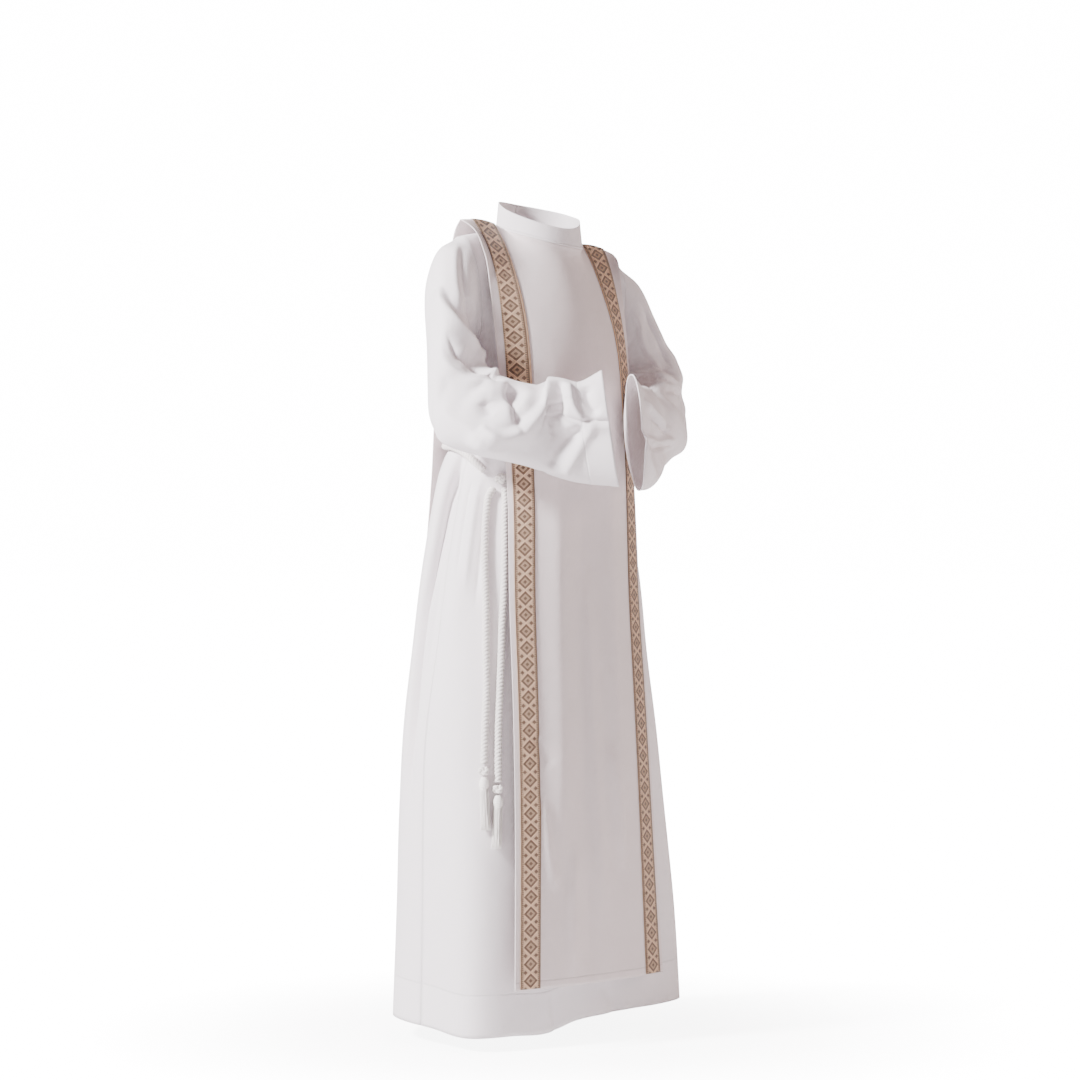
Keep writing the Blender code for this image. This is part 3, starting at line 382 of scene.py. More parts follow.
PAINTED_GLOW_COLOUR = (1.0, 0.80, 0.76, 1.0)
COLLAR_HEM = 0.003
STITCH_PITCH = 0.0028
STITCH_GROOVE = (0.0004, 0.0014)   # half width and soft edge
STITCH_THREAD = (0.0002, 0.0003)
STITCH_SHARE = (0.30, 0.10)        # half of each stitch as a share of the pitch, and its soft edge
STITCH_RISE = 0.8
ZIP_STITCHES = 0.0065
ZIP_LINE = (0.0004, 0.0006)
# the next two paint shade into the zip's slit: how dark, and how much of it is laid on
ZIP_SLIT_SHADE = 0.4
ZIP_SHADE_SHARE = 0.8
ZIP_SINK = 2.0
RUMPLE_BUMP = (0.35, 0.004)        # strength and distance
SEWN_BUMP = (0.7, 0.0008)
WEAVE_BUMP = (0.35, 0.0002)
WEAVE_UNEVEN = 1.5
DIAMOND_PITCH = 0.0235
DIAMOND_HALF = 0.0086
DIAMOND_LINE = (0.0018, 0.0006)    # half width and soft edge of each figure in the trims
DIAMOND_DOT = (0.0028, 0.0006)
DIAMOND_FILL = 0.38
SIDE_DOT = (0.0030, 0.0006)
SIDE_DOT_PLACE = 0.0078
SCALLOP = (0.0009, 0.0004)
SCALLOP_PLACE = 0.0118
SCALLOP_PITCH = 0.0026
SCALLOP_SHARE = (0.30, 0.06)
SELVEDGE = (0.0009, 0.0003)
SELVEDGE_PLACE = 0.0138
BRAID_THREAD = 0.00045
BRAID_UNEVEN = (0.7, 1.0)
BRAID_BRIGHTER = 1.3
CROSSING_SHARE = 0.8
METALLIC = (0.55, 0.35)            # of the pale ground, and how much less the figure has
FIGURE_RISE = (-0.6, 0.4)          # of the figure, and of the crossed lines
FIGURE_BUMP = (0.6, 0.0006)
BRAID_BUMP = (0.6, 0.0003)
YARN_DARKER = 0.88
YARN_GROOVE_SHADE = 0.5
YARN_SHARES = (0.6, 0.7)           # of the fibres, and of the painted shade in the dips between the strands
YARN_FIBRES = {"Detail": 4.0, "Roughness": 0.65}
YARN_BUMP = (0.5, 0.0006)
ROPE_FIBRES = 900.0
TASSEL_FIBRES = 1400.0

CAMERA_DISTANCE = 5.2
CAMERA_HEADING = (0.643, 0.766)    # X and Y of the level direction the camera looks along
CAMERA_HEIGHT = -0.378
CAMERA_LENS = 117.9
CAMERA_SENSOR = 36
CAMERA_END = 100
CAMERA_SHIFT = (0.00185, -0.0417)
LIGHT_TARGET = (0.0, 0.0, -0.5)
LIGHTS = (                         # name, place, size, power and colour
    ("key", (-3.8, 0.7, 2.1), 0.9, 800.0, (1.0, 0.99, 1.0)),
    ("fill", (-1.5, -4.4, 0.4), 3.0, 8.0, (1.0, 0.80, 0.78)),
    ("side", (3.4, -1.2, 0.7), 1.2, 72.0, (1.0, 0.83, 0.74)),
    ("rim", (3.0, 2.6, 1.4), 2.0, 45.0, (1.0, 0.94, 0.90)),
)
WORLD_COLOUR = (1.0, 0.77, 0.76, 1.0)
WORLD_STRENGTH = 0.34
FLOOR_HEIGHT = -1.165
FLOOR_RINGS = (0.001, 2.0, 30.0)
FLOOR_SIDES = 96
FLOOR_FADE = (0.22, 0.9)
FLOOR_GLOW = 7.0
BACKDROP = 16.0


def reader(table, columns):
    """Returns a function that reads a named column of the table at any value of its first column,
    along a smooth curve through the rows, with slopes from each row's neighbours."""
    rows = np.array(table, float)
    key = rows[:, 0]

    def read(name, at):
        values = rows[:, columns.index(name)]
        slopes = np.gradient(values, key)
        at = np.clip(np.asarray(at, float), key[0], key[-1])
        low = np.clip(np.searchsorted(key, at, side="right") - 1, 0, len(key) - 2)
        span = key[low + 1] - key[low]
        t = (at - key[low]) / span
        start, end = values[low], values[low + 1]
        rise = slopes[low] * span
        land = slopes[low + 1] * span
        return ((2 * t**3 - 3 * t**2 + 1) * start + (t**3 - 2 * t**2 + t) * rise
                + (3 * t**2 - 2 * t**3) * end + (t**3 - t**2) * land)

    return read


body_at = reader(BODY_SECTIONS, BODY_COLUMNS)
belt_at = reader(BELT_LINE, BELT_COLUMNS)
arm_at = reader(ARM_SECTIONS, ARM_COLUMNS)
left_at = reader(LEFT_ARM, LEFT_COLUMNS)
collar_at = reader(COLLAR_HEIGHTS, COLLAR_COLUMNS)
edge_at = reader(TABARD_EDGE, TABARD_EDGE_COLUMNS)
hem_at = reader(HEM_LIFTS, HEM_COLUMNS)


def ease(low, high, value):
    """Rises smoothly from 0 at low to 1 at high: three squares less two cubes."""
    t = np.clip((value - low) / (high - low), 0, 1)
    return t * t * (3 - 2 * t)


def tilted(points):
    """Lowers the wearer's left shoulder in proportion to X, fading out towards the belt."""
    points = np.array(points, float)
    fade = 1 - ease(*TILT_FADE, -points[..., 2])
    points[..., 2] -= SHOULDER_TILT * points[..., 0] * fade
    return points


def wrapped(angle):
    """The same angle between -180 and 180."""
    return (angle + 180) % 360 - 180


def body_point(angle, drop):
    """The alb round the body: a superellipse at each drop, plus folds that are bell curves of the
    angle and fade in and out with the drop."""
    angle, drop = np.broadcast_arrays(np.asarray(angle, float), np.asarray(drop, float))
    near_belt = np.exp(-((drop - BELT_DROP) / BELT_REACH) ** 2)
    level = drop - (belt_at("drop", wrapped(angle)) - BELT_DROP) * near_belt
    turn = np.radians(angle)
    side, ahead = np.sin(turn), np.cos(turn)
    power = 2 / body_at("square", level)
    x = body_at("half", level) * np.sign(side) * np.abs(side) ** power
    depth = np.where(ahead > 0, body_at("front", level), body_at("back", level))
    y = -depth * np.sign(ahead) * np.abs(ahead) ** power
    out = np.zeros_like(x)
    for row in FOLDS:
        fold = dict(zip(FOLD_COLUMNS, row))
        across = wrapped(angle - fold["angle"]) / fold["width"]
        rise = ease(fold["start"], fold["full"], level)
        out += fold["height"] * np.exp(-across**2) * rise * (1 - ease(fold["fade"], fold["end"], level))
    length = np.hypot(x, y)
    x = x * (1 + out / length) + body_at("x", level)
    y = y * (1 + out / length) + body_at("y", level)
    lift = hem_at("lift", wrapped(angle)) * ease(HEM_DROP - HEM_FADE, HEM_DROP, drop)
    return np.stack([x, y, lift - drop], -1)


def neck_point(angle):
    """The collar seam: an ellipse round the neck that climbs to the back in proportion to Y."""
    turn = np.radians(angle)
    x = NECK_HALF * np.sin(turn)
    y = -np.where(np.cos(turn) > 0, NECK_FRONT, NECK_BACK) * np.cos(turn)
    return np.stack([x, y, NECK_RISE * y], -1)


def arm_fold_height(place, round_angle):
    """The sleeve's broad folds: bell curves of the distance from a straight line on its nominal
    flat cloth."""
    here = np.stack([place * ARM_LENGTH, round_angle / 360 * ARM_GIRTH], -1)
    total = np.zeros(place.shape)
    for row in ARM_FOLDS:
        fold = dict(zip(ARM_FOLD_COLUMNS, row))
        start = np.array([fold["place 1"] * ARM_LENGTH, fold["angle 1"] / 360 * ARM_GIRTH])
        line = np.array([fold["place 2"] * ARM_LENGTH, fold["angle 2"] / 360 * ARM_GIRTH]) - start
        share = np.clip(((here - start) @ line) / (line @ line), 0, 1)
        away = np.linalg.norm(here - start - share[..., None] * line, axis=-1)
        total += fold["height"] * np.exp(-(away / fold["width"]) ** 2)
    return total * ease(0.0, ARM_FOLDS_START, place)


def arm_point(place, round_angle, side):
    """A sleeve: each ring is a superellipse between an outer and an inner point of the arm, with its
    width across them, and the broad folds added along its spokes."""
    place, round_angle = np.broadcast_arrays(np.asarray(place, float), np.asarray(round_angle, float))
    outer = np.stack([arm_at("outer " + axis, place) for axis in "xyz"], -1)
    inner = np.stack([arm_at("inner " + axis, place) for axis in "xyz"], -1)
    angle = np.radians(round_angle)
    power = 2 / ARM_SQUARE
    along = np.sign(np.cos(angle)) * np.abs(np.cos(angle)) ** power
    wide = np.sign(np.sin(angle)) * np.abs(np.sin(angle)) ** power
    half, turn = arm_at("half", place), arm_at("turn", place)
    if side > 0:
        half = half + left_at("half", place)
        turn = turn + left_at("turn", place)
        outer[..., 0] -= left_at("outer out", place)
        outer[..., 2] += left_at("outer up", place)
        inner[..., 0] -= left_at("inner out", place)
        inner[..., 2] += left_at("inner up", place)
    turn = np.radians(turn)
    across = np.stack([np.sin(turn), np.cos(turn), np.zeros_like(turn)], -1)
    spoke = along[..., None] * (outer - inner) / 2 + (wide * half)[..., None] * across
    spoke *= (1 + arm_fold_height(place, round_angle) / np.linalg.norm(spoke, axis=-1))[..., None]
    points = (outer + inner) / 2 + spoke
    points[..., 0] *= -side
    return points


def shoulder_line(count, side, front, neck, alb):
    """A shoulder seam from its outer end to the neck: a straight line with half a sine wave on it."""
    t = np.linspace(0, 1, count)[:, None]
    if alb:
        tip = arm_point(0.0, 0.0, side) - (0, 0, ALB_SINK)
    else:
        tip = np.array([side * float(edge_at("x", 1.0)), 0.0, float(edge_at("z", 1.0))])
    tip[1] += (-1 if front else 1) * SEAM / 2
    line = tip + (neck - tip) * t
    line[:, 2] += SHOULDER_BULGE * np.sin(math.pi * t[:, 0])
    return line


def top_line(front, alb, shoulder_count, neck_count):
    """The upper edge of a panel: one shoulder seam, the neckline and the other shoulder seam."""
    turns = np.linspace(-90, 90 if front else -270, neck_count)
    neck = neck_point(turns)
    if alb:
        neck *= (ALB_NECK, ALB_NECK, 1)
        neck[:, 2] -= ALB_NECK_SINK
    neck[[0, -1], 1] = (-1 if front else 1) * SEAM / 2
    right = shoulder_line(shoulder_count, -1, front, neck[0], alb)
    left = shoulder_line(shoulder_count, 1, front, neck[-1], alb)[::-1]
    return np.concatenate([right, neck[1:-1], left])


def coons(bottom, top, right, left, rows):
    """A patch between four edges: a blend from bottom to top, and near each side the bend of that
    side's edge away from its own chord."""
    v = np.linspace(0, 1, rows)[:, None, None]
    u = np.linspace(0, 1, len(bottom))[None, :, None]
    right_bend = right[:, None] - (1 - v) * bottom[0] - v * top[0]
    left_bend = left[:, None] - (1 - v) * bottom[-1] - v * top[-1]
    bends = (1 - u) ** SIDE_BEND_POWER * right_bend + u ** SIDE_BEND_POWER * left_bend
    return (1 - v) * bottom[None] + v * top[None] + bends


def alb_panel(front, columns, lower_rows, top_rows):
    """The alb's front or back from the hem to the shoulders: the body's rings up to the underarm,
    then a patch up to the armholes, shoulder seams and neckline, hollowed by a sine wave."""
    sign = -1 if front else 1
    angles = np.linspace(-90, 90 if front else -270, columns + 1)
    drops = np.linspace(HEM_DROP, UNDERARM_DROP, lower_rows)
    lower = body_point(angles[None, :], drops[:, None])
    shoulder_count = columns // 4 + 1
    top = top_line(front, True, shoulder_count, columns - 2 * (shoulder_count - 1) + 1)
    around = np.linspace(180, 0, top_rows)
    right = arm_point(0.0, sign * around, -1)
    left = arm_point(0.0, sign * around, 1)
    for edge, end in ((right, lower[-1, 0]), (left, lower[-1, -1])):
        weight = np.linspace(1, 0, top_rows)[:, None] ** 2
        edge += (end - edge[0]) * weight
    right[-1], left[-1] = top[0], top[-1]
    upper = coons(lower[-1], top, right, left, top_rows)
    rise = np.linspace(0, 1, top_rows)[:, None]
    across = np.linspace(-1, 1, columns + 1)[None, :]
    hollow = np.sin(math.pi * rise ** HOLLOW_POWERS[0]) * (1 - np.abs(across) ** HOLLOW_POWERS[1])
    upper[..., 1] -= sign * ALB_HOLLOW * hollow
    points = tilted(np.concatenate([lower, upper[1:]]))
    return points if front else points[:, ::-1]


def tabard_point(front, across, drop):
    """The hanging part of the tabard: a straight chord from edge to edge at each drop, bowed out by
    one minus a power of the distance from its middle."""
    read = reader(TABARD_FRONT if front else TABARD_BACK, TABARD_COLUMNS)
    across, drop = np.broadcast_arrays(np.asarray(across, float), np.asarray(drop, float))
    x = read("right x", drop) * (1 - across) + read("left x", drop) * across
    chord = read("right y", drop) * (1 - across) + read("left y", drop) * across
    y = chord - read("bow", drop) * (1 - np.abs(2 * across - 1) ** BOW_POWER)
    return np.stack([x, y, -drop], -1)


def tabard_panel(front, strips, lower_rows, top_rows):
    """The tabard's front or back: the hanging part, then a patch up to the shoulders and neck. Twelve
    bands of columns, with a trim on bands 1 and 2 and on 9 and 10, hold as many strips each."""
    columns = TABARD_BANDS * strips
    outer, inner = TABARD_MARGIN / TABARD_WIDTH, (TABARD_MARGIN + TRIM_WIDTH) / TABARD_WIDTH
    edge = [0, outer, (outer + inner) / 2]
    shares = [*edge, *np.linspace(inner, 1 - inner, TABARD_STEPS), *[1 - value for value in edge[::-1]]]
    across = np.interp(np.linspace(0, TABARD_BANDS, columns + 1), np.arange(TABARD_BANDS + 1), shares)
    low, high = (TABARD_FRONT if front else TABARD_BACK)[-1][0], TABARD_FRONT[0][0]
    lower = tabard_point(front, across[None, :], np.linspace(low, high, lower_rows)[:, None])
    shoulder_count = columns // 3 + 1
    top = top_line(front, False, shoulder_count, columns - 2 * (shoulder_count - 1) + 1)
    rise = np.linspace(0, 1, top_rows)
    depth = edge_at("front y" if front else "back y", rise) + (-1 if front else 1) * SEAM / 2 * (rise == 1)
    right = np.stack([-edge_at("x", rise), depth, edge_at("z", rise)], -1)
    left = right * (-1, 1, 1)
    right[0], left[0] = lower[-1, 0], lower[-1, -1]
    upper = coons(lower[-1], top, right, left, top_rows)
    points = tilted(relaxed(np.concatenate([lower, upper[1:]]), lower_rows))
    return points if front else points[:, ::-1]


def relaxed(points, first):
    """Softens a grid above its first rows: each inner point moves again and again to the middle of
    its four neighbours, with a pull that grows from nothing over the rows before."""
    rows = np.arange(1, len(points) - 1)
    pull = ease(first - RELAX_ROWS, first, rows)[:, None, None]
    for _ in range(RELAX_TIMES):
        middle = (points[2:, 1:-1] + points[:-2, 1:-1] + points[1:-1, 2:] + points[1:-1, :-2]) / 4
        points[1:-1, 1:-1] += pull * (middle - points[1:-1, 1:-1])
    return points


def sleeve_panel(side, rows, columns):
    """A sleeve as a closed grid of rings from the armhole to the cuff."""
    places = np.linspace(0, 1, rows)
    around = np.linspace(-180, 180, columns + 1)[:-1]
    points = arm_point(places[:, None], around[None, :], side)
    points[..., 0] -= side * SLEEVE_TUCK * (1 - ease(0, TUCK_END, places))[:, None]
    return tilted(points[:, ::-1] if side > 0 else points)


def grid_normals(points, closed=False):
    """Unit normals of a grid: the cross product of the steps along its rows and its columns."""
    if closed:
        wide = np.concatenate([points[:, -1:], points, points[:, :1]], 1)
        across = (np.gradient(wide, axis=1))[:, 1:-1]
    else:
        across = np.gradient(points, axis=1)
    normal = np.cross(across, np.gradient(points, axis=0))
    return normal / np.maximum(np.linalg.norm(normal, axis=-1, keepdims=True), 1e-12)


def smooth_route(points, step):
    """Points every step metres along a smooth curve through the route's own points."""
    route = np.array(points, float)
    reach = np.concatenate([[0], np.cumsum(np.linalg.norm(np.diff(route, axis=0), axis=1))])
    read = reader(np.column_stack([reach, route]), ("reach", "x", "y", "z"))
    at = np.linspace(0, reach[-1], int(round(reach[-1] / step)) + 1)
    return np.stack([read(axis, at) for axis in "xyz"], -1)


def add_piece(name, mesh, material):
    """Puts a mesh in the scene as a piece of the robe, at the origin."""
    mesh.materials.append(material)
    mesh.shade_smooth()
    piece = bpy.data.objects.new(name, mesh)
    bpy.context.scene.collection.objects.link(piece)
    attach(piece, "root")
    return piece


def grid_mesh(name, points, closed=False, uv=None):
    """A mesh of quads on a grid of points. A closed grid joins its last column to its first. uv gives
    each point's place on the flat cloth, in metres."""
    rows, columns = points.shape[:2]
    index = np.arange(rows * columns).reshape(rows, columns)
    if closed:
        index = np.concatenate([index, index[:, :1]], 1)
    corners = np.stack([index[:-1, :-1], index[:-1, 1:], index[1:, 1:], index[1:, :-1]], -1)
    mesh = bpy.data.meshes.new(name)
    mesh.from_pydata(points.reshape(-1, 3).tolist(), [], corners.reshape(-1, 4).tolist())
    if uv is not None:
        if closed:
            step = uv[:, -1:] + (uv[:, -1:] - uv[:, -2:-1])
            uv = np.concatenate([uv, step], 1)
        flat = np.stack([uv[:-1, :-1], uv[:-1, 1:], uv[1:, 1:], uv[1:, :-1]], 2)
        layer = mesh.uv_layers.new(name="flat")
        layer.data.foreach_set("uv", flat.reshape(-1).astype(np.float32))
    return mesh


def flat_places(points):
    """Each point's place on the flat cloth: metres along its row from the middle column, and metres
    up its column from the first row."""
    along = np.linalg.norm(np.diff(points, axis=1), axis=-1)
    u = np.concatenate([np.zeros((len(points), 1)), np.cumsum(along, 1)], 1)
    u -= u[:, [points.shape[1] // 2]]
    up = np.linalg.norm(np.diff(points, axis=0), axis=-1)
    v = np.concatenate([np.zeros((1, points.shape[1])), np.cumsum(up, 0)], 0)
    return np.stack([u, v], -1)


def wall(piece, thickness, inside=None):
    """Gives a sheet its thickness, outwards from the grid, and its inner face a cloth of its own."""
    solid = piece.modifiers.new("Wall", "SOLIDIFY")
    if inside is not None:
        piece.data.materials.append(inside)
        solid.material_offset = 1
    solid.thickness = thickness
    solid.offset = 1.0
    solid.use_even_offset = False
    return piece


def tube_points(route, radius, sides, lobes=0, depth=0.0, pitch=1.0):
    """Rings of a tube along a route, in a frame that doesn't spin. With lobes the radius dips between
    strands that wind round the route once each pitch."""
    route = np.asarray(route, float)
    ahead = np.gradient(route, axis=0)
    ahead /= np.linalg.norm(ahead, axis=1, keepdims=True)
    first = np.cross(ahead[0], (0, 0, 1.0) if abs(ahead[0][2]) < 0.9 else (1.0, 0, 0))
    normals = [first / np.linalg.norm(first)]
    for direction in ahead[1:]:
        turned = normals[-1] - direction * (normals[-1] @ direction)
        normals.append(turned / np.linalg.norm(turned))
    normals = np.array(normals)
    binormals = np.cross(ahead, normals)
    reach = np.concatenate([[0], np.cumsum(np.linalg.norm(np.diff(route, axis=0), axis=1))])
    turn = np.linspace(0, 2 * math.pi, sides + 1)[:-1]
    radii = np.broadcast_to(np.asarray(radius, float), (len(route),))[:, None] * np.ones(sides)[None]
    if lobes:
        wind = turn[None, :] - 2 * math.pi * reach[:, None] / pitch
        radii = radii * (1 - depth * (1 - np.abs(np.sin(lobes * wind / 2)) ** ROPE_POWER))
    return (route[:, None] + radii[..., None] * (np.cos(turn)[None, :, None] * normals[:, None]
                                                 + np.sin(turn)[None, :, None] * binormals[:, None]))


def tube_mesh(name, tubes, groove=None):
    """A mesh of closed tubes from their rings, each with a point in the middle of both ends. groove
    says how deep each point of a single tube lies between the strands, from 0 to 1."""
    points, faces, first = [], [], 0
    for rings in tubes:
        count, sides = rings.shape[:2]
        index = np.arange(count * sides).reshape(count, sides) + first
        index = np.concatenate([index, index[:, :1]], 1)
        quads = np.stack([index[:-1, :-1], index[:-1, 1:], index[1:, 1:], index[1:, :-1]], -1)
        points += [rings.reshape(-1, 3), rings[[0, -1]].mean(1)]
        first += count * sides + 2
        near = np.stack([np.full(sides, first - 2), index[0, 1:], index[0, :-1]], -1)
        far = np.stack([np.full(sides, first - 1), index[-1, :-1], index[-1, 1:]], -1)
        faces += quads.reshape(-1, 4).tolist() + near.tolist() + far.tolist()
    mesh = bpy.data.meshes.new(name)
    mesh.from_pydata(np.concatenate(points).tolist(), [], faces)
    if groove is not None:
        layer = mesh.attributes.new("groove", "FLOAT", "POINT")
        layer.data.foreach_set("value", np.append(groove.reshape(-1), (0, 0)).astype(np.float32))
    return mesh


def rope_mesh(name, route, radius, pitch):
    """A rope of three strands along a route, with a map of how deep each point lies between them."""
    rings = tube_points(route, radius, ROPE_SIDES, lobes=ROPE_STRANDS, depth=ROPE_DEPTH, pitch=pitch)
    radii = np.linalg.norm(rings - route[:, None], axis=-1)
    return tube_mesh(name, [rings], (1 - radii / radius) / ROPE_DEPTH)


def sampler(points):
    """Returns a function that reads a grid of points at shares across it and up it, in straight lines
    between its four nearest points."""
    rows, columns = points.shape[0] - 1, points.shape[1] - 1

    def read(across, up):
        column, row = np.clip(across, 0, 1) * columns, np.clip(up, 0, 1) * rows
        j = np.minimum(column.astype(int), columns - 1)
        i = np.minimum(row.astype(int), rows - 1)
        s, t = (column - j)[:, None], (row - i)[:, None]
        return ((1 - s) * (1 - t) * points[i, j] + s * (1 - t) * points[i, j + 1]
                + (1 - s) * t * points[i + 1, j] + s * t * points[i + 1, j + 1])

    return read


def creased(points, base, creases, closed=False):
    """Pushes a grid along its normals by its creases. Each crease has a height, a width on its left
    and on its right, and a line: a smooth curve through places on the cloth. The height falls off as
    a bell of the distance from the line and fades out towards both ends as half a sine wave."""
    normals = grid_normals(points, closed)
    push = np.zeros(points.shape[:2])
    for row in creases:
        crease = dict(zip(CREASE_COLUMNS, row))
        route = np.array(crease["line"], float)
        read = reader(np.column_stack([np.arange(len(route)), route]), ("key", "first", "second"))
        at = np.linspace(0, len(route) - 1, CREASE_POINTS)
        line = base(read("first", at), read("second", at))
        margin = CREASE_REACH * max(crease["left"], crease["right"])
        low, high = line.min(0) - margin, line.max(0) + margin
        near = np.all((points > low) & (points < high), axis=-1)
        here = points[near]
        if not len(here):
            continue
        start, step = line[:-1], np.diff(line, axis=0)
        size = np.maximum((step**2).sum(1), 1e-12)
        share = np.clip(np.einsum("ijk,jk->ij", here[:, None] - start, step) / size, 0, 1)
        offset = here[:, None] - start - share[..., None] * step
        away = np.linalg.norm(offset, axis=-1)
        best = (away - 1e-6 * np.arange(away.shape[1])).argmin(1)
        rows = np.arange(len(here))
        away = away[rows, best]
        side = np.einsum("ij,ij->i", np.cross(step[best], offset[rows, best]), normals[near])
        width = np.where(side > 0, crease["left"], crease["right"])
        along = (best + share[rows, best]) / len(step)
        fade = np.clip(np.sin(math.pi * along) * CREASE_HOLD, 0, 1)
        push[near] += crease["height"] * fade * np.exp(-(away / width) ** CREASE_POWER)
    return points + normals * push[..., None]


def add_node(tree, kind, inputs=None, **settings):
    """Adds a shader node, sets its settings, and links or sets each named or numbered input."""
    made = tree.nodes.new(kind)
    for key, value in settings.items():
        setattr(made, key, value)
    for socket, value in (inputs or {}).items():
        if isinstance(value, bpy.types.NodeSocket):
            tree.links.new(value, made.inputs[socket])
        else:
            made.inputs[socket].default_value = value
    return made


def maths(tree, operation, first, second=0.0, third=0.0):
    """A sum, product or other operation on numbers or sockets."""
    return add_node(tree, "ShaderNodeMath", {0: first, 1: second, 2: third}, operation=operation).outputs[0]


def map_range(tree, value, low, high, start, end, **settings):
    """Takes a value from between low and high to between start and end."""
    return add_node(tree, "ShaderNodeMapRange", {
        "Value": value, "From Min": low, "From Max": high, "To Min": start, "To Max": end},
        **settings).outputs[0]


def band(tree, value, centre, half, soft):
    """1 where value is within half of centre, falling to 0 over soft."""
    away = maths(tree, "ABSOLUTE", maths(tree, "SUBTRACT", value, centre))
    return map_range(tree, away, half, half + soft, 1.0, 0.0)


def repeated(tree, value, pitch):
    """Distance from the middle of each repeat of the pitch, as a share of it."""
    share = maths(tree, "FRACT", maths(tree, "DIVIDE", value, pitch))
    return maths(tree, "ABSOLUTE", maths(tree, "SUBTRACT", share, 0.5))


def bump(tree, height, size, below=None):
    """Normals bumped by a height. size is the bump's strength and distance, and below the normals
    that it lies on."""
    inputs = {"Height": height, "Strength": size[0], "Distance": size[1]}
    if below is not None:
        inputs["Normal"] = below
    return add_node(tree, "ShaderNodeBump", inputs).outputs[0]


def tinted(colour, share):
    """The colour made darker or brighter by a share, and never brighter than white cloth."""
    return tuple(min(share * part, BRIGHTEST) for part in colour[:3]) + (1.0,)


def blend_colour(tree, share, first, second):
    """A mix of two colours by a share."""
    return add_node(tree, "ShaderNodeMix", {0: share, 6: first, 7: second}, data_type="RGBA").outputs[2]


def new_group(name, inputs, outputs):
    """A shader node group with named inputs and outputs, and its input and output nodes."""
    group = bpy.data.node_groups.new(name, "ShaderNodeTree")
    for label, kind, value in inputs:
        socket = group.interface.new_socket(label, in_out="INPUT", socket_type=kind)
        if value is not None:
            socket.default_value = value
    for label, kind in outputs:
        group.interface.new_socket(label, in_out="OUTPUT", socket_type=kind)
    return group, group.nodes.new("NodeGroupInput").outputs, group.nodes.new("NodeGroupOutput").inputs


def weave_group():
    """Plain weave: over each thread crossing one set of threads is up, a sine arch, and the other is
    down, in a checker of the signs of two sines. Uneven thread comes from stretched noise."""
    if "Plain Weave" in bpy.data.node_groups:
        return bpy.data.node_groups["Plain Weave"]
    group, given, out = new_group(
        "Plain Weave",
        [("Place", "NodeSocketVector", None), ("Thread", "NodeSocketFloat", 0.0004)],
        [("Height", "NodeSocketFloat"), ("Uneven", "NodeSocketFloat")])
    parts = add_node(group, "ShaderNodeSeparateXYZ", {0: given["Place"]}).outputs
    waves = [maths(group, "SINE", maths(group, "DIVIDE", maths(
        group, "MULTIPLY", parts[axis], math.pi), given["Thread"])) for axis in (0, 1)]
    over = maths(group, "GREATER_THAN", maths(group, "MULTIPLY", *waves), 0.0)
    arches = [maths(group, "ABSOLUTE", wave) for wave in waves]
    under = maths(group, "SUBTRACT", 1.0, over)
    height = maths(group, "ADD", maths(group, "MULTIPLY", arches[0], over),
                   maths(group, "MULTIPLY", arches[1], under))
    group.links.new(height, out["Height"])
    uneven = []
    for stretch in UNEVEN_STRETCH:
        stretched = add_node(group, "ShaderNodeVectorMath", {0: given["Place"], 1: stretch},
                             operation="MULTIPLY")
        uneven.append(add_node(group, "ShaderNodeTexNoise", {
            "Vector": stretched.outputs[0], "Scale": 1.0, "Detail": 2.0}).outputs["Fac"])
    group.links.new(maths(group, "MULTIPLY", maths(group, "ADD", *uneven), 0.5), out["Uneven"])
    return group


def stitches_group():
    """A row of stitches at one height on the cloth: a narrow groove with a short thread in it each
    pitch."""
    if "Stitch Row" in bpy.data.node_groups:
        return bpy.data.node_groups["Stitch Row"]
    group, given, out = new_group(
        "Stitch Row",
        [("Across", "NodeSocketFloat", 0.0), ("Along", "NodeSocketFloat", 0.0),
         ("At", "NodeSocketFloat", 0.0), ("Pitch", "NodeSocketFloat", STITCH_PITCH)],
        [("Height", "NodeSocketFloat"), ("Groove", "NodeSocketFloat")])
    away = maths(group, "SUBTRACT", given["Across"], given["At"])
    groove = band(group, away, 0.0, *STITCH_GROOVE)
    stitch = band(group, repeated(group, given["Along"], given["Pitch"]), 0.0, *STITCH_SHARE)
    thread = maths(group, "MULTIPLY", band(group, away, 0.0, *STITCH_THREAD), stitch)
    raised = maths(group, "MULTIPLY", thread, STITCH_RISE)
    group.links.new(maths(group, "SUBTRACT", raised, groove), out["Height"])
    # the groove's mask, which the cloth darkens as painted shade
    group.links.new(groove, out["Groove"])
    return group


def group_node(tree, group, inputs):
    """Places a shader node group in a material and gives its outputs."""
    return add_node(tree, "ShaderNodeGroup", inputs, node_tree=group).outputs


def new_material(name, shader_inputs):
    """An empty node material, its tree, and its shader with the constant inputs set."""
    made = bpy.data.materials.new(name)
    made.use_nodes = True
    shader = made.node_tree.nodes["Principled BSDF"]
    for socket, value in shader_inputs.items():
        shader.inputs[socket].default_value = value
    return made, made.node_tree, shader


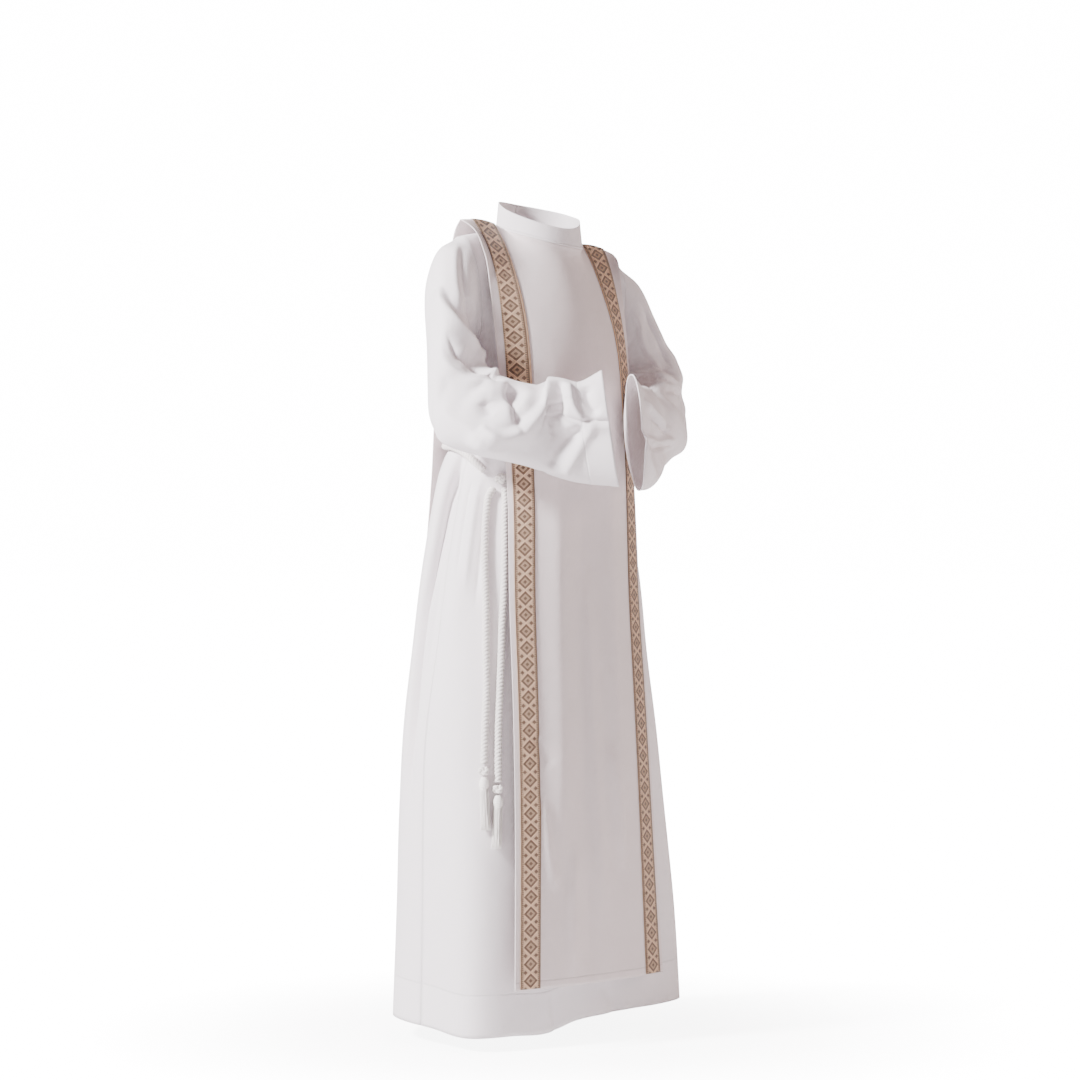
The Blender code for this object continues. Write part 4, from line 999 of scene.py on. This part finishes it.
def cloth_material(name, colour, thread, hem, zip_from=None, glow=0.0):
    """White plain-woven cloth on a flat map in metres, with a hem turned up and stitched at a height
    above its lower edge, painted shade in the stitched groove and the zip's slit, faint unevenness of
    thread, and a soft rumple. zip_from is the height where the closed zip on the middle line starts,
    and glow is a painted glow: emission that stands in for light coming through the cloth."""
    made, tree, shader = new_material(name, CLOTH_SHADER)
    flat = add_node(tree, "ShaderNodeUVMap", uv_map="flat").outputs[0]
    along, up = add_node(tree, "ShaderNodeSeparateXYZ", {0: flat}).outputs[:2]
    weave = group_node(tree, weave_group(), {"Place": flat, "Thread": thread})
    stitch = group_node(tree, stitches_group(), {"Across": up, "Along": along, "At": hem})
    turned = map_range(tree, up, hem - HEM_EDGE, hem + HEM_EDGE, 1.0, 0.0)
    shade = map_range(tree, weave["Uneven"], *UNEVEN_RANGE, 0.0, 1.0)
    shade, fold, groove = (maths(tree, "MULTIPLY", value, share) for value, share in zip(
        (shade, turned, stitch["Groove"]), CLOTH_SHARES))
    darker = tinted(colour, CLOTH_DARKER)
    woven = blend_colour(tree, shade, colour, darker)
    layered = blend_colour(tree, fold, woven, tinted(colour, CLOTH_BRIGHTER))
    # painted shade: the stitched groove is darkened where shade would fall in it
    sewn = blend_colour(tree, groove, layered, darker)
    # painted glow: the emission stands in for light coming through the cloth
    shader.inputs["Emission Color"].default_value = PAINTED_GLOW_COLOUR
    shader.inputs["Emission Strength"].default_value = glow
    object_place = add_node(tree, "ShaderNodeTexCoord").outputs["Object"]
    rumple = add_node(tree, "ShaderNodeTexNoise", {"Vector": object_place, **RUMPLE}).outputs["Fac"]
    hems = maths(tree, "ADD", maths(tree, "MULTIPLY", turned, HEM_RISE), stitch["Height"])
    if zip_from is not None:
        beside = maths(tree, "ABSOLUTE", along)
        above = maths(tree, "GREATER_THAN", up, zip_from)
        slit = maths(tree, "MULTIPLY", band(tree, beside, 0.0, *ZIP_LINE), above)
        sides = group_node(tree, stitches_group(), {"Across": beside, "Along": up, "At": ZIP_STITCHES})
        # painted shade: the zip's slit is darkened where shade would fall between its edges
        sewn = blend_colour(tree, maths(tree, "MULTIPLY", slit, ZIP_SHADE_SHARE), sewn, tinted(colour, ZIP_SLIT_SHADE))
        sunk = maths(tree, "SUBTRACT", sides["Height"], maths(tree, "MULTIPLY", slit, ZIP_SINK))
        hems = maths(tree, "ADD", hems, maths(tree, "MULTIPLY", above, sunk))
    tree.links.new(sewn, shader.inputs["Base Color"])
    stitched = bump(tree, hems, SEWN_BUMP, bump(tree, rumple, RUMPLE_BUMP))
    threads = maths(tree, "ADD", weave["Height"], maths(tree, "MULTIPLY", weave["Uneven"], WEAVE_UNEVEN))
    tree.links.new(bump(tree, threads, WEAVE_BUMP, stitched), shader.inputs["Normal"])
    return made


def trim_material(pale, brown):
    """Woven braid: on a map in metres, a column of diamonds with a centre dot, pale crossed lines
    between them, side dots, a scalloped line and a plain selvedge at each edge."""
    made, tree, shader = new_material("woven trim", BRAID_SHADER)
    flat = add_node(tree, "ShaderNodeUVMap", uv_map="flat").outputs[0]
    along, height = add_node(tree, "ShaderNodeSeparateXYZ", {0: flat}).outputs[:2]
    across = maths(tree, "ABSOLUTE", along)
    up = maths(tree, "MULTIPLY", repeated(tree, height, DIAMOND_PITCH), DIAMOND_PITCH)
    diamond = maths(tree, "ADD", across, up)
    between = maths(tree, "SUBTRACT", DIAMOND_PITCH / 2, up)
    beside = maths(tree, "ABSOLUTE", maths(tree, "SUBTRACT", across, SIDE_DOT_PLACE))
    scallop = band(tree, repeated(tree, height, SCALLOP_PITCH), 0.0, *SCALLOP_SHARE)
    inside = band(tree, diamond, 0.0, DIAMOND_HALF, SCALLOP[1])
    dark = band(tree, diamond, DIAMOND_HALF, *DIAMOND_LINE)
    for figure in (
            band(tree, diamond, 0.0, *DIAMOND_DOT),
            band(tree, maths(tree, "ADD", beside, between), 0.0, *SIDE_DOT),
            maths(tree, "MULTIPLY", band(tree, across, SCALLOP_PLACE, *SCALLOP), scallop),
            band(tree, across, SELVEDGE_PLACE, *SELVEDGE),
            maths(tree, "MULTIPLY", inside, DIAMOND_FILL)):
        dark = maths(tree, "MAXIMUM", dark, figure)
    light = band(tree, maths(tree, "SUBTRACT", across, between), 0.0, *SCALLOP)
    weave = group_node(tree, weave_group(), {"Place": flat, "Thread": BRAID_THREAD})
    dark = maths(tree, "MULTIPLY", dark, map_range(tree, weave["Uneven"], *UNEVEN_RANGE, *BRAID_UNEVEN))
    crossed = maths(tree, "MULTIPLY", light, CROSSING_SHARE)
    ground = blend_colour(tree, crossed, pale, tinted(pale, BRAID_BRIGHTER))
    tree.links.new(blend_colour(tree, dark, ground, brown), shader.inputs["Base Color"])
    metallic = maths(tree, "SUBTRACT", METALLIC[0], maths(tree, "MULTIPLY", dark, METALLIC[1]))
    tree.links.new(metallic, shader.inputs["Metallic"])
    relief = maths(tree, "ADD", *[maths(tree, "MULTIPLY", value, rise) for value, rise in zip(
        (dark, light), FIGURE_RISE)])
    raised = bump(tree, relief, FIGURE_BUMP)
    tree.links.new(bump(tree, weave["Height"], BRAID_BUMP, raised), shader.inputs["Normal"])
    return made


def cotton_material(name, colour, scale):
    """Cotton yarn: fine noise for its fibres, darker where it dips, and painted shade in the dips between its
    strands.
    """
    made, tree, shader = new_material(name, YARN_SHADER)
    place = add_node(tree, "ShaderNodeTexCoord").outputs["Object"]
    fibres = add_node(tree, "ShaderNodeTexNoise", {"Vector": place, "Scale": scale, **YARN_FIBRES})
    fibres = fibres.outputs["Fac"]
    # painted shade between the strands, read from the rope's groove map
    groove = add_node(tree, "ShaderNodeAttribute", attribute_name="groove").outputs["Fac"]
    dips, groove_shade = (maths(tree, "MULTIPLY", value, share) for value, share in zip(
        (fibres, groove), YARN_SHARES))
    yarn = blend_colour(tree, dips, colour, tinted(colour, YARN_DARKER))
    tree.links.new(blend_colour(tree, groove_shade, yarn, tinted(colour, YARN_GROOVE_SHADE)),
                   shader.inputs["Base Color"])
    tree.links.new(bump(tree, fibres, YARN_BUMP), shader.inputs["Normal"])
    return made


def floor_material():
    """A pale floor that turns into the bright backdrop with its distance from the robe."""
    made, tree, shader = new_material("floor", FLOOR_SHADER)
    place = add_node(tree, "ShaderNodeTexCoord").outputs["Object"]
    away = add_node(tree, "ShaderNodeVectorMath", {0: place, 1: (0.0, 0.0, -FLOOR_HEIGHT)}, operation="ADD")
    away = add_node(tree, "ShaderNodeVectorMath", {0: away.outputs[0]}, operation="LENGTH").outputs["Value"]
    glow = map_range(tree, away, *FLOOR_FADE, FLOOR_GLOW, BACKDROP, interpolation_type="SMOOTHSTEP")
    seen = add_node(tree, "ShaderNodeLightPath").outputs["Is Camera Ray"]
    shader.inputs["Emission Color"].default_value = (1.0, 1.0, 1.0, 1.0)
    tree.links.new(maths(tree, "MULTIPLY", glow, seen), shader.inputs["Emission Strength"])
    return made


class RobeSizes(bpy.types.PropertyGroup):
    """Sizes that a user may change."""
    thread: bpy.props.FloatProperty(
        name="Thread", description="Spacing of the cloth's threads", default=0.0004, unit="LENGTH")
    alb_hem: bpy.props.FloatProperty(
        name="Alb hem", description="Depth of the alb's turned hem", default=0.060, unit="LENGTH")
    cuff_hem: bpy.props.FloatProperty(
        name="Cuff hem", description="Depth of the sleeves' turned hems", default=0.040, unit="LENGTH")
    tabard_hem: bpy.props.FloatProperty(
        name="Tabard hem", description="Depth of the tabard's turned hem", default=0.012, unit="LENGTH")
    strand_pitch: bpy.props.FloatProperty(
        name="Rope lay", description="Length over which the rope's strands wind round once",
        default=0.0165, unit="LENGTH")


class RobeColours(bpy.types.PropertyGroup):
    """Colours that a user may change."""
    cloth: bpy.props.FloatVectorProperty(
        name="Alb", description="Colour of the alb", subtype="COLOR", size=4,
        default=(0.86, 0.805, 0.825, 1.0), min=0.0, max=1.0)
    # painted shade: the tabard's colour is darker and warmer than its white cloth, standing in for the shade
    # over the tabard
    tabard: bpy.props.FloatVectorProperty(
        name="Tabard", description="Colour of the tabard", subtype="COLOR", size=4,
        default=(0.775, 0.685, 0.685, 1.0), min=0.0, max=1.0)
    pale: bpy.props.FloatVectorProperty(
        name="Pale gold", description="Ground of the woven trims", subtype="COLOR", size=4,
        default=(0.59, 0.405, 0.275, 1.0), min=0.0, max=1.0)
    brown: bpy.props.FloatVectorProperty(
        name="Brown", description="Figure of the woven trims", subtype="COLOR", size=4,
        default=(0.075, 0.036, 0.020, 1.0), min=0.0, max=1.0)
    rope: bpy.props.FloatVectorProperty(
        name="Rope", description="Colour of the rope belt and its tassels", subtype="COLOR", size=4,
        default=(0.88, 0.83, 0.80, 1.0), min=0.0, max=1.0)


class ROBE_OT_stage(bpy.types.Operator):
    """Sets the camera, the lights, the pale floor and the world."""
    bl_idname = "robe.stage"
    bl_label = "Stage"

    def execute(self, context):
        scene = context.scene
        heading = Vector((*CAMERA_HEADING, 0.0))
        right = Vector((CAMERA_HEADING[1], -CAMERA_HEADING[0], 0.0))
        data = bpy.data.cameras.new("camera")
        data.lens = CAMERA_LENS
        data.sensor_width = CAMERA_SENSOR
        data.shift_x, data.shift_y = CAMERA_SHIFT
        data.clip_end = CAMERA_END
        camera = bpy.data.objects.new("camera", data)
        scene.collection.objects.link(camera)
        place = -heading * CAMERA_DISTANCE
        place.z = CAMERA_HEIGHT
        camera.matrix_world = Matrix.Translation(place) @ Matrix(
            (right, Vector((0, 0, 1)), -heading)).transposed().to_4x4()
        scene.camera = camera
        for name, spot, size, power, colour in LIGHTS:
            lamp = bpy.data.lights.new(name, "AREA")
            lamp.shape = "DISK"
            lamp.size = size
            lamp.energy = power
            lamp.color = colour
            made = bpy.data.objects.new(name, lamp)
            made.location = spot
            made.rotation_euler = (Vector(LIGHT_TARGET) - Vector(spot)).to_track_quat("-Z", "Y").to_euler()
            scene.collection.objects.link(made)
        turn = np.linspace(0, 2 * math.pi, FLOOR_SIDES + 1)[:-1]
        ring = np.stack([np.cos(turn), np.sin(turn), 0 * turn], -1)
        rings = ring[None] * np.array(FLOOR_RINGS)[:, None, None]
        rings[..., 2] = FLOOR_HEIGHT
        mesh = grid_mesh("floor", rings[::-1], closed=True)
        mesh.materials.append(floor_material())
        floor = bpy.data.objects.new("floor", mesh)
        scene.collection.objects.link(floor)
        world = bpy.data.worlds.new("studio")
        world.use_nodes = True
        sky = world.node_tree.nodes["Background"]
        seen = add_node(world.node_tree, "ShaderNodeBackground", {
            "Color": (1, 1, 1, 1), "Strength": BACKDROP})
        sky.inputs["Color"].default_value = WORLD_COLOUR
        sky.inputs["Strength"].default_value = WORLD_STRENGTH
        path = add_node(world.node_tree, "ShaderNodeLightPath").outputs["Is Camera Ray"]
        mixed = add_node(world.node_tree, "ShaderNodeMixShader", {
            0: path, 1: sky.outputs[0], 2: seen.outputs[0]})
        world.node_tree.links.new(mixed.outputs[0], world.node_tree.nodes["World Output"].inputs[0])
        scene.world = world
        return {"FINISHED"}


class ROBE_OT_rope_ends(bpy.types.Operator):
    """Makes the two hanging rope ends, with their end knots and tassels."""
    bl_idname = "robe.rope_ends"
    bl_label = "Rope ends"

    def execute(self, context):
        sizes, colours = context.scene.robe_sizes, context.scene.robe_colours
        rope = cotton_material("rope", tuple(colours.rope), ROPE_FIBRES)
        yarn = cotton_material("tassel", tinted(colours.rope, TASSEL_BRIGHTER), TASSEL_FIBRES)
        for name, points in ROPE_ENDS.items():
            route = smooth_route(points, ROPE_STEP)
            twisted = rope_mesh("rope_end", route, ROPE / 2, sizes.strand_pitch)
            piece = add_piece("rope_end_%s_twist" % name, twisted, rope)
            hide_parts("rope_end_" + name)
            centre = np.array(points[-1]) + END_KNOT_PLACE
            knot = make_knot("end_knot_%s_tied" % name, centre, *END_KNOT, rope)
            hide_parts("end_knot_" + name)
            tassel = make_tassel("tassel_%s_threads" % name, centre + TASSEL_PLACE, TASSEL_LEAN[name], yarn)
            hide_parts("tassel_" + name)
            smooth_route(points, PATH_STEP).tolist()
        return {"FINISHED"}


def make_knot(name, centre, radius, thick, material):
    """A tied knot: a thick tube along a trefoil, whose X and Y are sums of a sine or cosine and twice
    that of the double angle, and whose Z is a sine of the triple angle."""
    t = np.linspace(0, 2 * math.pi, TURN_POINTS)
    route = np.stack([np.sin(t) + 2 * np.sin(2 * t), np.cos(t) - 2 * np.cos(2 * t),
                      -KNOT_RISE * np.sin(3 * t)], -1)
    route = np.asarray(centre) + route * (radius - thick) / 3
    return add_piece(name, rope_mesh(name, route, thick, KNOT_PITCH), material)


def make_tassel(name, top, lean, material):
    """A tassel: a bound head, which is a turned profile with ridges of whipping, and loose threads
    that leave it in rings and hang with a slight sway."""
    random = np.random.default_rng(THREAD_SEED)
    head_radius, head_length = TASSEL_HEAD
    least, sweep, start, power = HEAD_SHAPE
    t = np.linspace(0, 1, HEAD_GRID[0])
    profile = head_radius * (least + np.sin(math.pi * np.clip(t * sweep + start, 0, 1)) ** power)
    profile *= 1 + HEAD_RIDGES[0] * np.sin(t * HEAD_RIDGES[1])
    axis = np.stack([0 * t, 0 * t, -t * head_length], -1) + top
    tubes = [tube_points(axis, profile, HEAD_GRID[1])]
    t = np.linspace(0, 1, THREAD_GRID[0])
    hidden = head_length * HEAD_COVER
    for index in range(TASSEL_THREADS):
        turn = index * THREAD_TURN
        spread = math.sqrt((index + 0.5) / TASSEL_THREADS) * (TASSEL_SPREAD[0] + TASSEL_SPREAD[1] * t)
        sway = THREAD_SWAY[0] * np.sin(t * THREAD_SWAY[1] + random.uniform(0, 6)) * t
        length = TASSEL_LENGTH * random.uniform(THREAD_SHORTEST, 1.0)
        x = np.cos(turn) * spread + sway + lean[0] * t
        y = np.sin(turn) * spread + sway + lean[1] * t
        z = -hidden - (length - hidden) * t
        tubes.append(tube_points(np.stack([x, y, z], -1) + top, THREAD_RADIUS, THREAD_GRID[1]))
    return add_piece(name, tube_mesh(name, tubes), material)


class ROBE_OT_belt(bpy.types.Operator):
    """Makes the twisted rope round the waist and its knot."""
    bl_idname = "robe.belt"
    bl_label = "Rope belt"

    def execute(self, context):
        sizes, colours = context.scene.robe_sizes, context.scene.robe_colours
        rope = cotton_material("belt rope", tuple(colours.rope), ROPE_FIBRES)
        angles = np.linspace(*BELT_ENDS, TURN_POINTS)
        inner = body_point(angles, belt_at("drop", wrapped(angles)))
        step = np.gradient(inner, axis=0)
        out = np.stack([step[:, 1], -step[:, 0], 0 * step[:, 0]], -1)
        out /= np.linalg.norm(out, axis=1, keepdims=True)
        route = smooth_route(tilted(inner) + out * (CLOTH + ROPE / 2 + BELT_CLEAR), BELT_STEP)
        twisted = rope_mesh("belt_rope", route, ROPE / 2, sizes.strand_pitch)
        piece = add_piece("belt_rope_twist", twisted, rope)
        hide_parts("belt_rope")
        knot = make_knot("belt_knot_tied", KNOT_CENTRE, *BELT_KNOT, rope)
        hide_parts("belt_knot")
        return {"FINISHED"}


class ROBE_OT_alb(bpy.types.Operator):
    """Makes the alb's front and back."""
    bl_idname = "robe.alb"
    bl_label = "Alb"

    def execute(self, context):
        sizes, colours = context.scene.robe_sizes, context.scene.robe_colours
        for name, front in (("front", True), ("back", False)):
            columns, rows = ALB_GRID[name]
            points = alb_panel(front, columns, rows, ALB_TOP_ROWS)
            points = creased(points, lambda angle, drop: tilted(body_point(angle, drop)), SKIRT_CREASES)
            uv = flat_places(points)
            cloth = cloth_material("alb cloth " + name, tuple(colours.cloth), sizes.thread, sizes.alb_hem,
                                   None if front else float(uv[-1, columns // 2, 1]) - ZIP_LENGTH)
            piece = add_piece("alb_%s_cloth" % name, grid_mesh(name, points, uv=uv), cloth)
            wall(piece, CLOTH)
            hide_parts("alb_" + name)
        return {"FINISHED"}


class ROBE_OT_sleeves(bpy.types.Operator):
    """Makes the two sleeves."""
    bl_idname = "robe.sleeves"
    bl_label = "Sleeves"

    def execute(self, context):
        sizes, colours = context.scene.robe_sizes, context.scene.robe_colours
        cloth = cloth_material("sleeve cloth", tuple(colours.cloth), sizes.thread, sizes.cuff_hem)
        # the sleeves' inner face carries a painted glow
        inside = cloth_material("sleeve inside painted glow", tuple(colours.cloth), sizes.thread, sizes.cuff_hem,
                                glow=PAINTED_INSIDE_GLOW)
        for name, side, creases in (("right", -1, RIGHT_CREASES), ("left", 1, LEFT_CREASES)):
            points = sleeve_panel(side, *SLEEVE_GRID)
            points = creased(
                points, lambda place, angle, side=side: tilted(arm_point(place, angle, side)), creases, True)
            uv = flat_places(points[::-1])[::-1]
            piece = add_piece("sleeve_%s_cloth" % name, grid_mesh(name, points, closed=True, uv=uv),
                              cloth)
            wall(piece, CLOTH, inside)
            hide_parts(*SLEEVE_NODES[name])
        return {"FINISHED"}


class ROBE_OT_collar(bpy.types.Operator):
    """Makes the stand collar."""
    bl_idname = "robe.collar"
    bl_label = "Collar"

    def execute(self, context):
        sizes, colours = context.scene.robe_sizes, context.scene.robe_colours
        cloth = cloth_material("collar cloth", tuple(colours.cloth), sizes.thread, COLLAR_HEM)
        gap = math.degrees(ZIP_SLIT / 2 / NECK_BACK)
        rows, columns = COLLAR_GRID
        angles = np.linspace(-180 + gap, 180 - gap, columns)
        base = tilted(neck_point(angles))
        base[:, 2] -= COLLAR_SINK
        share = np.linspace(0, 1, rows)[:, None]
        height = share * collar_at("height", angles)[None]
        points = np.repeat(base[None], rows, axis=0)
        points[..., :2] *= (1 - COLLAR_LEAN * height / NECK_HALF)[..., None]
        points[..., 2] += height
        piece = add_piece("collar_cloth", grid_mesh("collar", points, uv=flat_places(points)),
                          cloth)
        wall(piece, COLLAR_THICK)
        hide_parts("collar")
        return {"FINISHED"}


class ROBE_OT_tabard(bpy.types.Operator):
    """Makes the tabard's front and back and the woven trims on them."""
    bl_idname = "robe.tabard"
    bl_label = "Tabard"

    def execute(self, context):
        sizes, colours = context.scene.robe_sizes, context.scene.robe_colours
        braid = trim_material(tuple(colours.pale), tuple(colours.brown))
        for name, front in (("front", True), ("back", False)):
            strips, rows = TABARD_GRID[name]
            points = tabard_panel(front, strips, rows, TABARD_TOP_ROWS)
            points = creased(points, sampler(points), TABARD_CREASES[name])
            uv = flat_places(points)
            middle = TABARD_BANDS * strips // 2
            # the tabard's colour carries painted shade over the whole tabard
            cloth = cloth_material("tabard cloth " + name, tuple(colours.tabard), sizes.thread,
                                   sizes.tabard_hem, None if front else float(uv[-1, middle, 1]) - ZIP_LENGTH)
            piece = add_piece("scapular_%s_cloth" % name, grid_mesh(name, points, uv=uv),
                              cloth)
            wall(piece, CLOTH)
            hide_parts("scapular_" + name)
            lifted = points + grid_normals(points) * (CLOTH + SEAM)
            for first in TRIM_BANDS:
                strip = lifted[:, first * strips:(first + 2) * strips + 1].copy()
                strip[0, :, 2] += TRIM_LIFT
                flat = flat_places(strip)
                flat[..., 0] *= TRIM_WIDTH / (flat[:, -1:, 0] - flat[:, :1, 0])
                worn = "right" if (first == TRIM_BANDS[0]) == front else "left"
                trim = add_piece("trim_%s_%s_braid" % (name, worn), grid_mesh(name, strip, uv=flat),
                                 braid)
                wall(trim, TRIM_THICK)
                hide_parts("trim_%s_%s" % (name, worn))
        return {"FINISHED"}


class ROBE_PT_panel(bpy.types.Panel):
    """Lists the robe's sizes, colours and pieces."""
    bl_idname = "ROBE_PT_panel"
    bl_label = "First Communion Robe"
    bl_space_type = "VIEW_3D"
    bl_region_type = "UI"
    bl_category = "Robe"

    def draw(self, context):
        for settings in (context.scene.robe_sizes, context.scene.robe_colours):
            for name in settings.bl_rna.properties.keys():
                if name not in ("rna_type", "name"):
                    self.layout.prop(settings, name)
        for operator in OPERATORS:
            self.layout.operator(operator.bl_idname)


OPERATORS = (ROBE_OT_stage, ROBE_OT_rope_ends, ROBE_OT_belt, ROBE_OT_alb, ROBE_OT_sleeves,
             ROBE_OT_collar, ROBE_OT_tabard)
CLASSES = (RobeSizes, RobeColours, *OPERATORS, ROBE_PT_panel)


def register():
    """Adds the robe's classes and settings to Blender."""
    for made in CLASSES:
        bpy.utils.register_class(made)
    bpy.types.Scene.robe_sizes = bpy.props.PointerProperty(type=RobeSizes)
    bpy.types.Scene.robe_colours = bpy.props.PointerProperty(type=RobeColours)


def unregister():
    """Takes them away again."""
    del bpy.types.Scene.robe_sizes
    del bpy.types.Scene.robe_colours
    for made in reversed(CLASSES):
        bpy.utils.unregister_class(made)


def main():
    """Builds the robe piece by piece."""
    register()
    for operator in OPERATORS:
        getattr(bpy.ops.robe, operator.bl_idname.partition(".")[2])()


if __name__ == "__main__":
    main()
